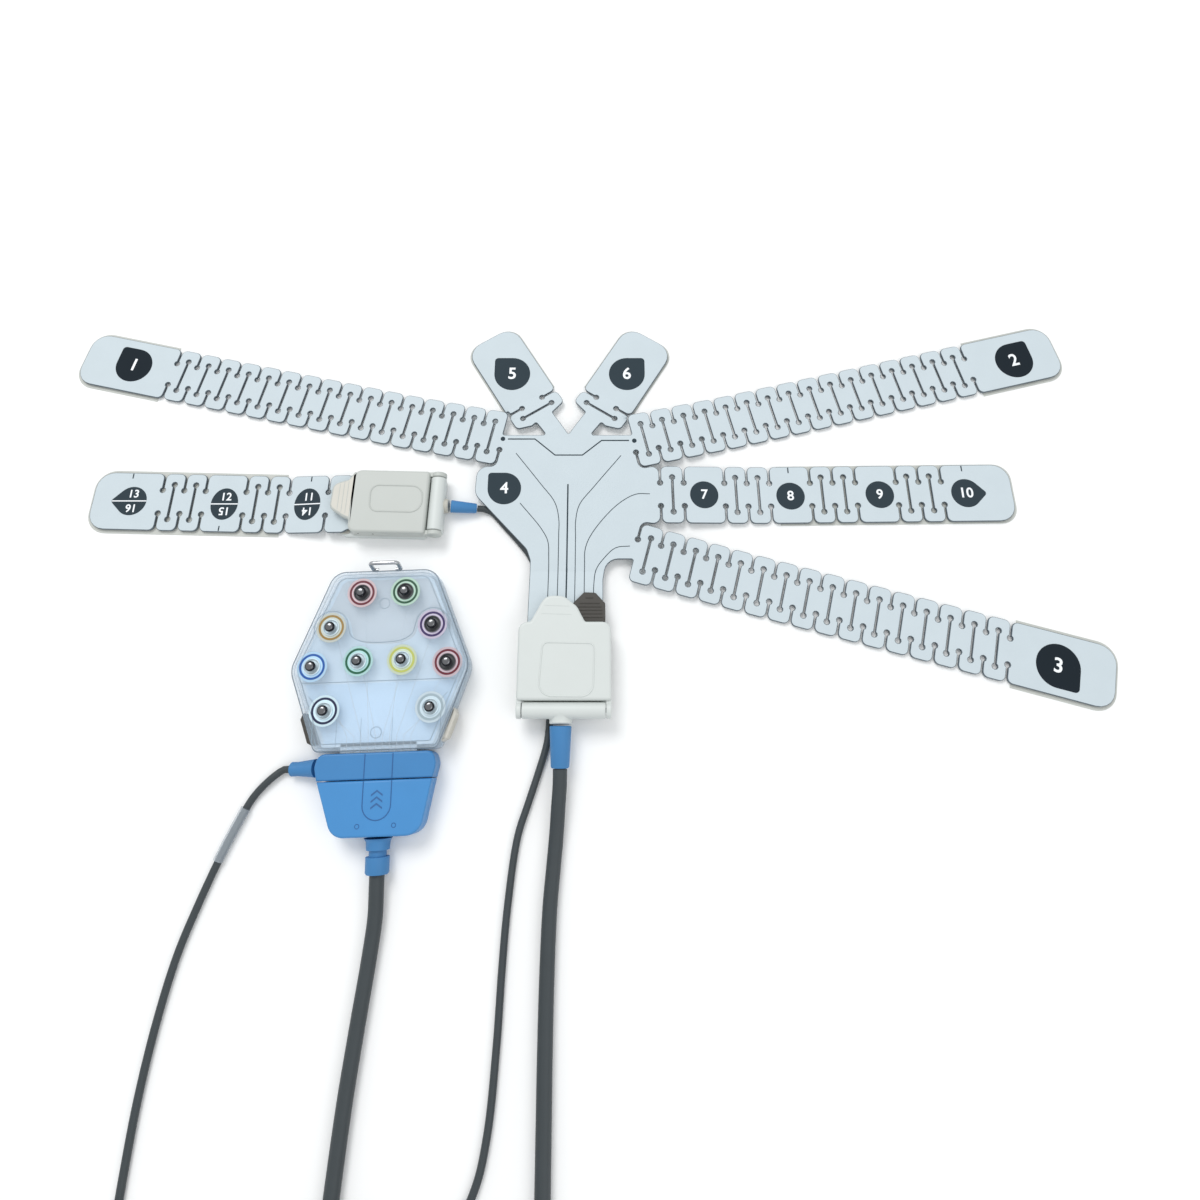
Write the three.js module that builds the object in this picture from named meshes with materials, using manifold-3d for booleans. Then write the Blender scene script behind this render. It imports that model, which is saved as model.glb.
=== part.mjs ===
// A wearable electrode array for a twelve-lead heart recording: a slit foam sheet and a
// side strip, each held in a hinged clip, and a clear snap box on its cable plug.
// Millimetres, +Z up. The origin is at the bottom centre of the object without its cords.
import * as THREE from 'three';
import { mergeVertices } from 'three/addons/utils/BufferGeometryUtils.js';
import Module from 'manifold-3d';

const wasm = await Module();
wasm.setup();

// Clearances, shared by every piece
const GAP = 0.3; // between pieces that touch
const CUT = 1; // how far a cutting solid runs past what it cuts
const FULL_TURN = Math.PI * 2;
const DEGREE = Math.PI / 180;

// Cords
const THIN_D = 2.8;
const THICK_D = 5.6;

// Foam sheet and its liner
const FOAM_T = 1.2;
const LINER_T = 0.3;
const LINER_MARGIN = 1.4; // how far the liner shows past the foam
const FOAM_LOW_Z = LINER_T + GAP; // foam that lies on its liner
const FOAM_HIGH_Z = THIN_D + GAP; // foam that lies over the thin cord
const SLIT_W = 0.8;
const LOBE_R = 2.4; // rounding of a lobe beside an edge notch
const PAD_R = 7.5; // corner of an electrode pad

// Limb arms
const LIMB_W = 26;
const LIMB_PITCH = 10;
const LIMB_SLITS = 16;
const LIMB_SLIT_L = 17.6;
const LIMB_NOTCH = 8.6;
const LIMB_PAD_L = 43.5;
const RAMP_L = 45; // over which an arm comes down to the table

// Chest strip and side strip
const STRIP_W = 26.4;
const STRIP_SLIT_L = 18.5;
const STRIP_NOTCH = 9;
const CHEST_PITCH = 10.1;
const SIDE_PITCH = 9.6;
const STRIP_PAD_L = 18.2;
const CHEST_END_L = 31;
const SIDE_END_L = 30;
const SIDE_TAIL_W = 23.6;

// Trunk of the sheet, about its centre line, from the main clip's mouth upwards
const TRUNK_HALF_W = 40.8;
const TRUNK_H = 86;
const TAIL_W = 31.2;
const TAIL_RAMP_L = 20.4; // over which the tail climbs into the clip

// Tabs of the first two chest pads
const TAB_W = 25.6;
const TAB_PAD_L = 40;
const TAB_X = 26.6; // from the centre line to the electrode's centre
const TAB_RISE = 32.2; // of the electrode's centre above the trunk
const TAB_TIP_L = 22.2; // from the electrode's centre to the tip
const TAB_LEAN = 32 * DEGREE;

// Where the arms leave the trunk, of its half width and height, and which way they go
const RA_ROOT_SHARES = [-0.74, 0.981];
const RA_ANGLE = 167.8 * DEGREE;
const LA_ROOT_SHARES = [0.725, 0.966];
const LA_ANGLE = 13.4 * DEGREE;
const LA_PITCH = 10.18; // this arm lies a little drawn out
const LL_ROOT_SHARES = [0.725, 0.366];
const LL_ANGLE = -15.2 * DEGREE;
const CHEST_ROOT_SHARES = [1.015, 0.67];
const CHEST_ANGLE = 0.65 * DEGREE;

const onTrunk = ([x, y]) => [x * TRUNK_HALF_W, y * TRUNK_H];
const RA_ROOT = onTrunk(RA_ROOT_SHARES);
const LA_ROOT = onTrunk(LA_ROOT_SHARES);
const LL_ROOT = onTrunk(LL_ROOT_SHARES);
const CHEST_ROOT = onTrunk(CHEST_ROOT_SHARES);

// Clips
const CLIP_BASE_T = 3.6;
const CLIP_COVER_T = 4.2;
const CLIP_WALL = 1.6;
const TONGUE_T = 0.4; // contact film under the foam tail
const MAIN_CLIP_W = 37.6;
const MAIN_CLIP_L = 31;
const SIDE_CLIP_W = 28.4;
const SIDE_CLIP_L = 33.2;
const BARREL_R = 3.3; // hinge barrel
const BARREL_DROP = 0.2; // of the barrel's top below the cover's
const OVERLAP_SHARE = 0.5; // overlap of what is joined to the barrel, of its radius
const EAR_W = 2; // cover's ear at each end of the base's knuckle
const PIN_R = 1; // hinge pin
const TAIL_L = 23; // foam and film inside a clip
const CONTACT_L = 16; // contact block along the clip
const CONTACT_D = 2.2; // contact block's depth
const SIDE_LIP_L = 4.6; // side clip's base past its cover
const SIDE_CLIP_OUT = 52.8; // from the trunk's edge to the clip's mouth
const SIDE_CLIP_RISE_SHARE = 0.615; // of the trunk's height
const SIDE_CLIP_AT = [-TRUNK_HALF_W - SIDE_CLIP_OUT, SIDE_CLIP_RISE_SHARE * TRUNK_H];
const SIDE_CLIP_TURN = 88.6 * DEGREE;
const CLIP_CORNER_R = 3;

// Snap box and plug, about their own axis, from the seam between them
const BOX_AT = [-72.6, -50];
const BOX_TURN = 2.1 * DEGREE;
const BOX_L = 71.6;
const BOX_MID_W = 72;
const BOX_TOP_W = 42;
const BOX_END_W = 48.2;
const BOX_WAIST_Y = 32;
const BOX_H = 12;
const BOX_WALL = 1.6;
const BOX_SPLIT_Z = 5.4;
const BOX_END_R = 3; // corners beside the plug
const BOX_WAIST_R = 9;
const BOX_TOP_R = 7;
const BOARD_T = 1;
const BOARD_Z = 6.2;
const TONGUE_W = 30; // of the circuit board into the plug
const BOARD_TONGUE_L = 7;
const STUD_FLANGE_R = 3.4;
const STUD_BALL_R = 2.05;
const STUD_H = 3.4;
const STUD_BORE_R = 1.7;
const PLUG_H = 11;
const PLUG_TOP_W = 47;
const PLUG_END_W = 33;
const PLUG_END_X = 1.4; // the narrow end's middle, from the band's
const PLUG_L = 30.5;
const PLUG_BAND_L = 9.8;
const PLUG_WALL = 1.6;
const PLUG_SPLIT_Z = 5.2;
const BAIL_WIRE_R = 0.85;
const BAIL_HALF_W = 5.7;
const BAIL_LEG_L = 7;
const BAIL_RISE = 80 * DEGREE;

// Sides of round pieces
const ROUND = 16;
const SMALL_ROUND = 8;
const STUD_SIDES = 10;

// Solids and geometries
function bare(geometry) {
  const plain = geometry.index ? geometry.clone() : geometry;
  plain.deleteAttribute('normal');
  plain.deleteAttribute('uv');
  return mergeVertices(plain);
}

function solid(geometry) {
  const merged = bare(geometry);
  return new wasm.Manifold(new wasm.Mesh({
    numProp: 3,
    vertProperties: new Float32Array(merged.attributes.position.array),
    triVerts: new Uint32Array(merged.index.array),
  }));
}

function geometryOf(manifold) {
  const mesh = manifold.getMesh();
  const geometry = new THREE.BufferGeometry();
  geometry.setAttribute('position', new THREE.BufferAttribute(mesh.vertProperties, mesh.numProp));
  geometry.setIndex(new THREE.BufferAttribute(mesh.triVerts, 1));
  geometry.computeVertexNormals();
  return geometry;
}

function joined(first, ...rest) {
  return geometryOf(rest.reduce((whole, next) => whole.add(solid(next)), solid(first)));
}

function cut(geometry, ...cutters) {
  return geometryOf(cutters.reduce((whole, next) => whole.subtract(solid(next)), solid(geometry)));
}

// A block from its lowest corner to its highest
function block(low, high) {
  const size = high.map((value, axis) => value - low[axis]);
  const geometry = new THREE.BoxGeometry(...size);
  return geometry.translate(...size.map((value, axis) => low[axis] + value / 2));
}

// An outline raised from one height to another
function prism(outline, low, high) {
  const shape = new THREE.Shape(outline.map(([x, y]) => new THREE.Vector2(x, y)));
  const geometry = new THREE.ExtrudeGeometry(shape, { depth: high - low, bevelEnabled: false });
  return geometry.translate(0, 0, low);
}

// A cylinder or cone along X, Y or Z, from its starting point
function rod(axis, start, length, startR, endR = startR, sides = ROUND) {
  const geometry = new THREE.CylinderGeometry(endR, startR, length, sides);
  geometry.translate(0, length / 2, 0);
  if (axis === 'x') geometry.rotateZ(-Math.PI / 2);
  if (axis === 'z') geometry.rotateX(Math.PI / 2);
  return geometry.translate(...start);
}

// Corners of an outline turned into arcs: each point is [x, y, radius]
const ARC_STEPS = 3;
function rounded(points, steps = ARC_STEPS) {
  const outline = [];
  points.forEach(([x, y, radius = 0], index) => {
    const corner = new THREE.Vector2(x, y);
    if (!radius) {
      outline.push([x, y]);
      return;
    }
    const before = new THREE.Vector2(...points.at(index - 1)).sub(corner).normalize();
    const after = new THREE.Vector2(...points[(index + 1) % points.length]).sub(corner).normalize();
    const half = Math.acos(THREE.MathUtils.clamp(before.dot(after), -1, 1)) / 2;
    const reach = radius / Math.tan(half);
    const start = corner.clone().addScaledVector(before, reach);
    const end = corner.clone().addScaledVector(after, reach);
    const centre = corner.clone().addScaledVector(
      before.clone().add(after).normalize(), radius / Math.sin(half));
    const from = start.clone().sub(centre).angle();
    let sweep = end.clone().sub(centre).angle() - from;
    if (sweep > Math.PI) sweep -= FULL_TURN;
    if (sweep < -Math.PI) sweep += FULL_TURN;
    for (let step = 0; step <= steps; step += 1) {
      const angle = from + sweep * step / steps;
      outline.push([centre.x + radius * Math.cos(angle), centre.y + radius * Math.sin(angle)]);
    }
  });
  return outline;
}

function rectangle(width, low, high, radius) {
  const half = width / 2;
  return rounded([[-half, low, radius], [half, low, radius], [half, high, radius], [-half, high, radius]]);
}

// A sheet of even thickness made of flat cells side by side. A cell is an outline with
// holes. An edge between two cells is named by the places where both start and end,
// so that no wall stands inside the sheet.
function sheet(cells, thickness, lowAt) {
  const positions = [];
  const place = ([x, y], top) => [x, y, lowAt(x, y) + (top ? thickness : 0)];
  const key = ([x, y]) => `${x},${y}`;
  const seen = new Set();
  const loops = [];
  cells.forEach(({ outline, holes = [] }) => {
    const rim = outline.map((point) => new THREE.Vector2(...point));
    const inner = holes.map((hole) => hole.map((point) => new THREE.Vector2(...point)));
    const all = [...outline, ...holes.flat()];
    THREE.ShapeUtils.triangulateShape(rim, inner).forEach(([a, b, c]) => {
      positions.push(...place(all[a], true), ...place(all[b], true), ...place(all[c], true));
      positions.push(...place(all[a], false), ...place(all[c], false), ...place(all[b], false));
    });
    [outline, ...holes].forEach((loop) => loop.forEach((point, index) => {
      const next = loop[(index + 1) % loop.length];
      seen.add(`${key(point)} ${key(next)}`);
      loops.push([point, next]);
    }));
  });
  loops.filter(([a, b]) => !seen.has(`${key(b)} ${key(a)}`)).forEach(([a, b]) => {
    positions.push(...place(a, false), ...place(b, false), ...place(b, true));
    positions.push(...place(a, false), ...place(b, true), ...place(a, true));
  });
  const geometry = new THREE.BufferGeometry();
  geometry.setAttribute('position', new THREE.Float32BufferAttribute(positions, 3));
  const merged = mergeVertices(geometry);
  merged.computeVertexNormals();
  return merged;
}

// Height of a sheet that keeps one level, slopes, and keeps another
function slope(from, to, fromZ, toZ) {
  return (at) => fromZ + (toZ - fromZ) * THREE.MathUtils.clamp((at - from) / (to - from), 0, 1);
}

// Cells of a slit strip along +X. Spans run from notch to notch, with or without a slit.
function stripCells({ start, spans, width, slitL, notch, endL, endR, rootR = 0 }) {
  const half = width / 2;
  const cells = [];
  let at = start;
  spans.forEach(([length, slit], index) => {
    const low = index ? at + LOBE_R : at;
    const next = at + length;
    const high = next - LOBE_R;
    const middle = (at + next) / 2;
    const outline = index
      ? [[low, -half], [high, -half], [high, half], [low, half]]
      : [[low, rootR - half], [low + rootR, -half], [high, -half],
        [high, half], [low + rootR, half], [low, half - rootR]];
    const holes = slit
      ? [[[middle - SLIT_W / 2, -slitL / 2], [middle - SLIT_W / 2, slitL / 2],
        [middle + SLIT_W / 2, slitL / 2], [middle + SLIT_W / 2, -slitL / 2]]]
      : [];
    cells.push({ outline, holes });
    cells.push({ outline: notchOutline(next, half, notch) });
    at = next;
  });
  const low = at + LOBE_R;
  const tip = at + endL;
  const corners = rounded([[tip, -half, endR], [tip, half, endR], [low, half], [low, -half]]);
  cells.push({ outline: corners });
  return cells;
}

// The cell around a pair of edge notches
const LOBE_DROP_SHARE = 0.6; // how far a lobe's rounding drops, of its radius
function notchOutline(at, half, notch) {
  const side = SLIT_W / 2;
  const drop = LOBE_R * LOBE_DROP_SHARE;
  return [
    [at - LOBE_R, -half], [at - side, drop - half], [at - side, notch - half],
    [at + side, notch - half], [at + side, drop - half], [at + LOBE_R, -half],
    [at + LOBE_R, half], [at + side, half - drop], [at + side, half - notch],
    [at - side, half - notch], [at - side, half - drop], [at - LOBE_R, half],
  ];
}

// One unbroken tube along a curve, with closed ends
function tube(curve, steps, radius, sides) {
  const section = new THREE.Shape(Array.from({ length: sides }, (_, corner) => {
    const angle = FULL_TURN * corner / sides;
    return new THREE.Vector2(radius * Math.cos(angle), radius * Math.sin(angle));
  }));
  return new THREE.ExtrudeGeometry(section, { steps, extrudePath: curve });
}

// Colours and finishes
function finish(color, roughness, metalness = 0) {
  return new THREE.MeshStandardMaterial({ color, roughness, metalness });
}
const FOAM = finish(0xd0dce2, 0.7);
const LINER = finish(0xd9dcd6, 0.5);
const SHELL = finish(0xe0e0da, 0.45);
const DARK = finish(0x4b4642, 0.6);
const BLUE = finish(0x4a8cc8, 0.45);
const CABLE = finish(0x4b4f55, 0.55);
const METAL = finish(0xb8bcc0, 0.2, 1);
const CLEAR = finish(0xcfe2f0, 0.15);
const BOARD = finish(0xc4d0d4, 0.5);
const CONTACT = finish(0x33373c, 0.5);
const FILM = finish(0xc8a24a, 0.4);

const model = new THREE.Group();

function put(parent, name, geometry, material) {
  const mesh = new THREE.Mesh(geometry, material);
  mesh.name = name;
  parent.add(mesh);
  return mesh;
}

function group(parent, [x, y], turn, z = 0) {
  const holder = new THREE.Group();
  holder.position.set(x, y, z);
  holder.rotation.z = turn;
  parent.add(holder);
  return holder;
}

// Heights inside a clip, from the underside of its base
const CLIP_TONGUE_Z = CLIP_BASE_T + GAP;
const CLIP_FOAM_Z = CLIP_TONGUE_Z + TONGUE_T + GAP;
const CLIP_COVER_Z = CLIP_FOAM_Z + FOAM_T + GAP;
const CLIP_H = CLIP_COVER_Z + CLIP_COVER_T;
const HINGE_Z = CLIP_H - BARREL_DROP - BARREL_R;
const MAIN_CLIP_Z = FOAM_HIGH_Z;

// Limb arms, the chest strip and the two tabs
function limbArm(name, root, angle, pitch) {
  const arm = group(model, root, angle);
  const spans = Array.from({ length: LIMB_SLITS }, () => [pitch, true]);
  const cells = stripCells({
    start: GAP / 2,
    spans,
    width: LIMB_W,
    slitL: LIMB_SLIT_L,
    notch: LIMB_NOTCH,
    endL: LIMB_PAD_L,
    endR: PAD_R,
    rootR: LOBE_R,
  });
  const fall = slope(LOBE_R, RAMP_L, FOAM_HIGH_Z, FOAM_LOW_Z);
  put(arm, `limb_arm_${name}`, sheet(cells, FOAM_T, fall), FOAM);
  const padStart = LIMB_SLITS * pitch + LOBE_R;
  const padEnd = LIMB_SLITS * pitch + LIMB_PAD_L + LINER_MARGIN;
  const half = LIMB_W / 2 + LINER_MARGIN;
  const corner = PAD_R + LINER_MARGIN;
  const liner = rounded([
    [padStart, -half], [padEnd, -half, corner], [padEnd, half, corner], [padStart, half],
  ]);
  put(arm, `liner_${name}`, prism(liner, 0, LINER_T), LINER);
}
limbArm('ra', RA_ROOT, RA_ANGLE, LIMB_PITCH);
limbArm('la', LA_ROOT, LA_ANGLE, LA_PITCH);
limbArm('ll', LL_ROOT, LL_ANGLE, LIMB_PITCH);

const SLIT_SPAN = true;
const PAD_SPAN = false;
const chest = group(model, CHEST_ROOT, CHEST_ANGLE);
const CHEST_SPANS = [
  [CHEST_PITCH, SLIT_SPAN], [STRIP_PAD_L, PAD_SPAN],
  [CHEST_PITCH, SLIT_SPAN], [CHEST_PITCH, SLIT_SPAN], [STRIP_PAD_L, PAD_SPAN],
  [CHEST_PITCH, SLIT_SPAN], [CHEST_PITCH, SLIT_SPAN], [STRIP_PAD_L, PAD_SPAN],
  [CHEST_PITCH, SLIT_SPAN], [CHEST_PITCH, SLIT_SPAN],
];
const spanSum = (spans) => spans.reduce((sum, [length]) => sum + length, 0);
put(chest, 'chest_strip', sheet(stripCells({
  start: GAP / 2,
  spans: CHEST_SPANS,
  width: STRIP_W,
  slitL: STRIP_SLIT_L,
  notch: STRIP_NOTCH,
  endL: CHEST_END_L,
  endR: PAD_R,
  rootR: LOBE_R,
}), FOAM_T, slope(LOBE_R, RAMP_L, FOAM_HIGH_Z, FOAM_LOW_Z)), FOAM);
const chestTip = spanSum(CHEST_SPANS) + CHEST_END_L + LINER_MARGIN;
const chestLinerHalf = STRIP_W / 2 + LINER_MARGIN / 2;
put(chest, 'liner_chest', prism(rounded([
  [RAMP_L + PAD_R, -chestLinerHalf], [chestTip, -chestLinerHalf, PAD_R],
  [chestTip, chestLinerHalf, PAD_R], [RAMP_L + PAD_R, chestLinerHalf],
]), 0, LINER_T), LINER);

// Tab-local places: X from the electrode's centre along the tab, Y across it
const TAB_NOTCH_X = TAB_TIP_L - TAB_PAD_L;
const TAB_SLIT_X = TAB_NOTCH_X - LIMB_PITCH / 2;
const TAB_Y = TRUNK_H + TAB_RISE;
// Places of a tab's neck, of its width and pad length
const NECK_IN_SHARES = [0.3, 0.29];
const NECK_OUT_SHARES = [[0.38, 0], [0.56, 0.16], [0.63, 0.12], [0.88, 0.085]];
function tabLead(name, side) {
  const turn = Math.PI / 2 - side * TAB_LEAN;
  const tab = group(model, [side * TAB_X, TAB_Y], turn);
  // A place given from the trunk's centre line and the clip's mouth, in the tab's own frame
  const local = (x, y) => {
    const across = side * x - side * TAB_X;
    const up = y - TAB_Y;
    return [across * Math.cos(turn) + up * Math.sin(turn), up * Math.cos(turn) - across * Math.sin(turn)];
  };
  const half = TAB_W / 2;
  const low = TAB_NOTCH_X + LOBE_R;
  const pad = rounded([[TAB_TIP_L, -half, PAD_R], [TAB_TIP_L, half, PAD_R], [low, half], [low, -half]]);
  const slitLow = TAB_SLIT_X - LOBE_R;
  const slitHigh = TAB_NOTCH_X - LOBE_R;
  const middle = (slitLow + slitHigh) / 2;
  const slitCell = {
    outline: [[slitLow, -half], [slitHigh, -half], [slitHigh, half], [slitLow, half]],
    holes: [[[middle - SLIT_W / 2, -LIMB_SLIT_L / 2], [middle - SLIT_W / 2, LIMB_SLIT_L / 2],
      [middle + SLIT_W / 2, LIMB_SLIT_L / 2], [middle + SLIT_W / 2, -LIMB_SLIT_L / 2]]],
  };
  // The neck, from the inner end of the slit column down to the trunk and out to the lobe
  const seamY = TRUNK_H + GAP;
  const neckAt = ([x, y]) => local(x * TAB_W, seamY + y * TAB_PAD_L);
  const neck = [neckAt(NECK_IN_SHARES), local(GAP / 2, seamY), ...NECK_OUT_SHARES.map(neckAt)];
  const inner = [slitLow, side * half];
  const outer = [slitLow, -side * half];
  const neckOutline = side > 0 ? [inner, ...neck, outer] : [inner, ...neck, outer].reverse();
  const cells = [
    { outline: neckOutline },
    slitCell,
    { outline: notchOutline(TAB_NOTCH_X, half, LIMB_NOTCH) },
    { outline: pad },
  ];
  const fall = slope(slitLow - LIMB_PITCH, low, FOAM_HIGH_Z, FOAM_LOW_Z);
  put(tab, `chest_tab_${name}`, sheet(cells, FOAM_T, fall), FOAM);
  const linerHalf = half + LINER_MARGIN / 2;
  const linerTip = TAB_TIP_L + LINER_MARGIN / 2;
  put(tab, `liner_${name}`, prism(rounded([
    [low, -linerHalf], [linerTip, -linerHalf, PAD_R], [linerTip, linerHalf, PAD_R], [low, linerHalf],
  ]), 0, LINER_T), LINER);
}
tabLead('v1', -1);
tabLead('v2', 1);

// Trunk: the seam with an arm is a place on its root line, half a gap inside the trunk
function seam([x, y], angle, across) {
  const back = -GAP / 2;
  return [
    x + back * Math.cos(angle) - across * Math.sin(angle),
    y + back * Math.sin(angle) + across * Math.cos(angle),
  ];
}
// Where that line crosses a given height
function seamAt(root, angle, height) {
  const [x, y] = seam(root, angle, 0);
  return [x - (height - y) * Math.tan(angle), height];
}
const tailHalf = TAIL_W / 2;
const tailTop = TAIL_RAMP_L + LOBE_R;
const chestLow = CHEST_ROOT[1] - STRIP_W / 2;
const chestHigh = CHEST_ROOT[1] + STRIP_W / 2;
const chestEdge = CHEST_ROOT[0] - GAP / 2;
const limbHalf = LIMB_W / 2;
const lobeDrop = LOBE_R * LOBE_DROP_SHARE;
const CHEST_IN_SHARE = 0.7; // depth of the corner beside the chest strip, of its pitch
const chestIn = CHEST_ROOT[0] - CHEST_PITCH * CHEST_IN_SHARE;
// Places along the trunk's edge, of its half width and height
const RIGHT_FOOT_SHARES = [[0.42, 0.3], [0.49, 0.325]];
const LEFT_EDGE_SHARES = [
  [-0.83, 0.824], [-0.92, 0.822], [-0.98, 0.8], [-1, 0.765], [-1, 0.69],
  [-0.98, 0.67], [-0.925, 0.645], [-0.432, 0.38], [-0.395, 0.355],
];
const LEG_FOOT_SHARE = 0.33;
const TAIL_HEAD_SHARE = 0.325;
const trunkOutline = [
  [tailHalf, tailTop],
  ...RIGHT_FOOT_SHARES.map(onTrunk),
  seamAt(LL_ROOT, LL_ANGLE, TRUNK_H * LEG_FOOT_SHARE),
  seam(LL_ROOT, LL_ANGLE, limbHalf - LOBE_R),
  [chestIn, chestLow + GAP], [chestEdge, chestLow + GAP],
  [chestEdge, chestHigh - GAP], [chestIn, chestHigh - lobeDrop],
  seam(LA_ROOT, LA_ANGLE, -limbHalf + lobeDrop),
  seamAt(LA_ROOT, LA_ANGLE, TRUNK_H),
  seamAt(RA_ROOT, RA_ANGLE, TRUNK_H),
  seam(RA_ROOT, RA_ANGLE, limbHalf - lobeDrop),
  ...LEFT_EDGE_SHARES.map(onTrunk),
  [-tailHalf, TRUNK_H * TAIL_HEAD_SHARE], [-tailHalf, tailTop],
];
const slotZ = MAIN_CLIP_Z + CLIP_FOAM_Z;
const tailFoot = tailTop - TAIL_RAMP_L;
const tailCells = [
  { outline: trunkOutline },
  { outline: [[-tailHalf, tailTop], [-tailHalf, tailFoot], [tailHalf, tailFoot], [tailHalf, tailTop]] },
  { outline: [[-tailHalf, tailFoot], [-tailHalf, -TAIL_L], [tailHalf, -TAIL_L], [tailHalf, tailFoot]] },
];
const tailHeight = slope(tailFoot, tailTop, slotZ, FOAM_HIGH_Z);
put(model, 'sheet_trunk', sheet(tailCells, FOAM_T, (x, y) => tailHeight(y)), FOAM);

// Pull tab on the tail, beside the clip's own tab
const PULL_W = 13;
const PULL_L = 13.6;
const PULL_T = 1.2;
const PULL_X = 9.4;
const pullLow = GAP;
const pullMiddle = pullLow + PULL_L - PULL_W / 2;
const pullDome = Array.from({ length: SMALL_ROUND + 1 }, (_, step) => {
  const angle = Math.PI * step / SMALL_ROUND;
  return [PULL_X + PULL_W / 2 * Math.cos(angle), pullMiddle + PULL_W / 2 * Math.sin(angle)];
});
const pullLeft = PULL_X - PULL_W / 2;
const pullRight = PULL_X + PULL_W / 2;
const pullCells = [
  { outline: [[pullLeft, pullLow], [pullRight, pullLow], [pullRight, tailFoot], [pullLeft, tailFoot]] },
  { outline: [[pullLeft, tailFoot], [pullRight, tailFoot], ...pullDome] },
];
put(model, 'pull_tab', sheet(pullCells, PULL_T, (x, y) => tailHeight(y) + FOAM_T + GAP), DARK);

// A hinged clip: mouth at Y = 0 facing +Y, hinge at the other end
const TAB_T = 2;
function clip(parent, name, { width, length, lip, tabW, tabL, tabX, collarX, collarZ, collarR, collarL }) {
  const hingeY = -length - BARREL_R - GAP;
  const half = width / 2;
  const knuckle = half - EAR_W - GAP;
  const overlap = BARREL_R * OVERLAP_SHARE;
  const collarY = hingeY - BARREL_R - collarL;
  const pocketHalf = half - CLIP_WALL - GAP;
  const pocketHigh = -(TAIL_L - CONTACT_L) / 2;
  const pocketLow = pocketHigh - CONTACT_L;
  const boreR = PIN_R + GAP;
  const bore = rod('x', [-half - CUT, hingeY, HINGE_Z], width + 2 * CUT, boreR, boreR, SMALL_ROUND);

  const base = cut(
    joined(
      prism(rectangle(width, hingeY, lip, CLIP_CORNER_R), 0, CLIP_BASE_T),
      rod('x', [-knuckle, hingeY, HINGE_Z], 2 * knuckle, BARREL_R),
      block([-knuckle, hingeY - overlap, 0], [knuckle, hingeY + overlap, HINGE_Z]),
      rod('y', [collarX, collarY, collarZ], collarL + BARREL_R, collarR),
    ),
    bore,
    block([-pocketHalf, pocketLow, CLIP_BASE_T - CONTACT_D], [pocketHalf, pocketHigh, CLIP_BASE_T + CUT]),
    block([-half - CUT, hingeY - BARREL_R - GAP, -CUT], [-knuckle, hingeY + BARREL_R + GAP, CLIP_H]),
    block([knuckle, hingeY - BARREL_R - GAP, -CUT], [half + CUT, hingeY + BARREL_R + GAP, CLIP_H]),
  );
  put(parent, `${name}_base`, base, SHELL);

  put(parent, `${name}_contact_block`, block(
    [-pocketHalf + GAP, pocketLow + GAP, CLIP_BASE_T - CONTACT_D + GAP],
    [pocketHalf - GAP, pocketHigh - GAP, CLIP_BASE_T],
  ), CONTACT);

  const ear = knuckle + GAP;
  const tabZ = CLIP_COVER_Z + PULL_T + GAP;
  const dome = Array.from({ length: SMALL_ROUND + 1 }, (_, step) => {
    const angle = Math.PI * step / SMALL_ROUND;
    return [tabX + tabW / 2 * Math.cos(angle), tabL * Math.sin(angle)];
  });
  const tabFoot = [[tabX - tabW / 2, -CLIP_WALL], [tabX + tabW / 2, -CLIP_WALL]];
  const tab = prism([...dome, ...tabFoot], tabZ, tabZ + TAB_T);
  const innerHalf = half - CLIP_WALL;
  const cover = cut(
    joined(
      prism(rectangle(width, -length, 0, CLIP_CORNER_R), CLIP_BASE_T + GAP, CLIP_H),
      tab,
      rod('x', [-half, hingeY, HINGE_Z], half - ear, BARREL_R),
      rod('x', [ear, hingeY, HINGE_Z], half - ear, BARREL_R),
      block([-half, hingeY, HINGE_Z], [-ear, -length + CLIP_WALL, HINGE_Z + overlap]),
      block([ear, hingeY, HINGE_Z], [half, -length + CLIP_WALL, HINGE_Z + overlap]),
    ),
    bore,
    block([-innerHalf, -length + CLIP_WALL, 0], [innerHalf, CUT, CLIP_COVER_Z]),
    block([-pocketHalf, pocketLow, 0], [pocketHalf, pocketHigh, CLIP_COVER_Z + CLIP_WALL]),
  );
  put(parent, `${name}_cover`, cover, SHELL);

  put(parent, `${name}_pressure_pad`, block(
    [-pocketHalf + GAP, pocketLow + GAP, CLIP_COVER_Z],
    [pocketHalf - GAP, pocketHigh - GAP, CLIP_COVER_Z + CLIP_WALL - GAP],
  ), DARK);

  const pin = rod('x', [-half + GAP, hingeY, HINGE_Z], width - 2 * GAP, PIN_R, PIN_R, SMALL_ROUND);
  put(parent, `${name}_hinge_pin`, pin, METAL);
  return [collarX, collarY, collarZ];
}

// A strain relief: a cone that leaves its collar and dips towards the table. The tilted
// face keeps its gap to the collar.
function boot(parent, name, start, { length, startR, endR, dip, turn = Math.PI }) {
  const near = GAP + startR * Math.tan(Math.abs(dip));
  const mesh = put(parent, name, rod('y', [0, near, 0], length, startR, endR), BLUE);
  mesh.position.set(...start);
  mesh.rotation.set(dip, 0, turn, 'ZXY');
  return { mesh, face: near + length };
}

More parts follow.
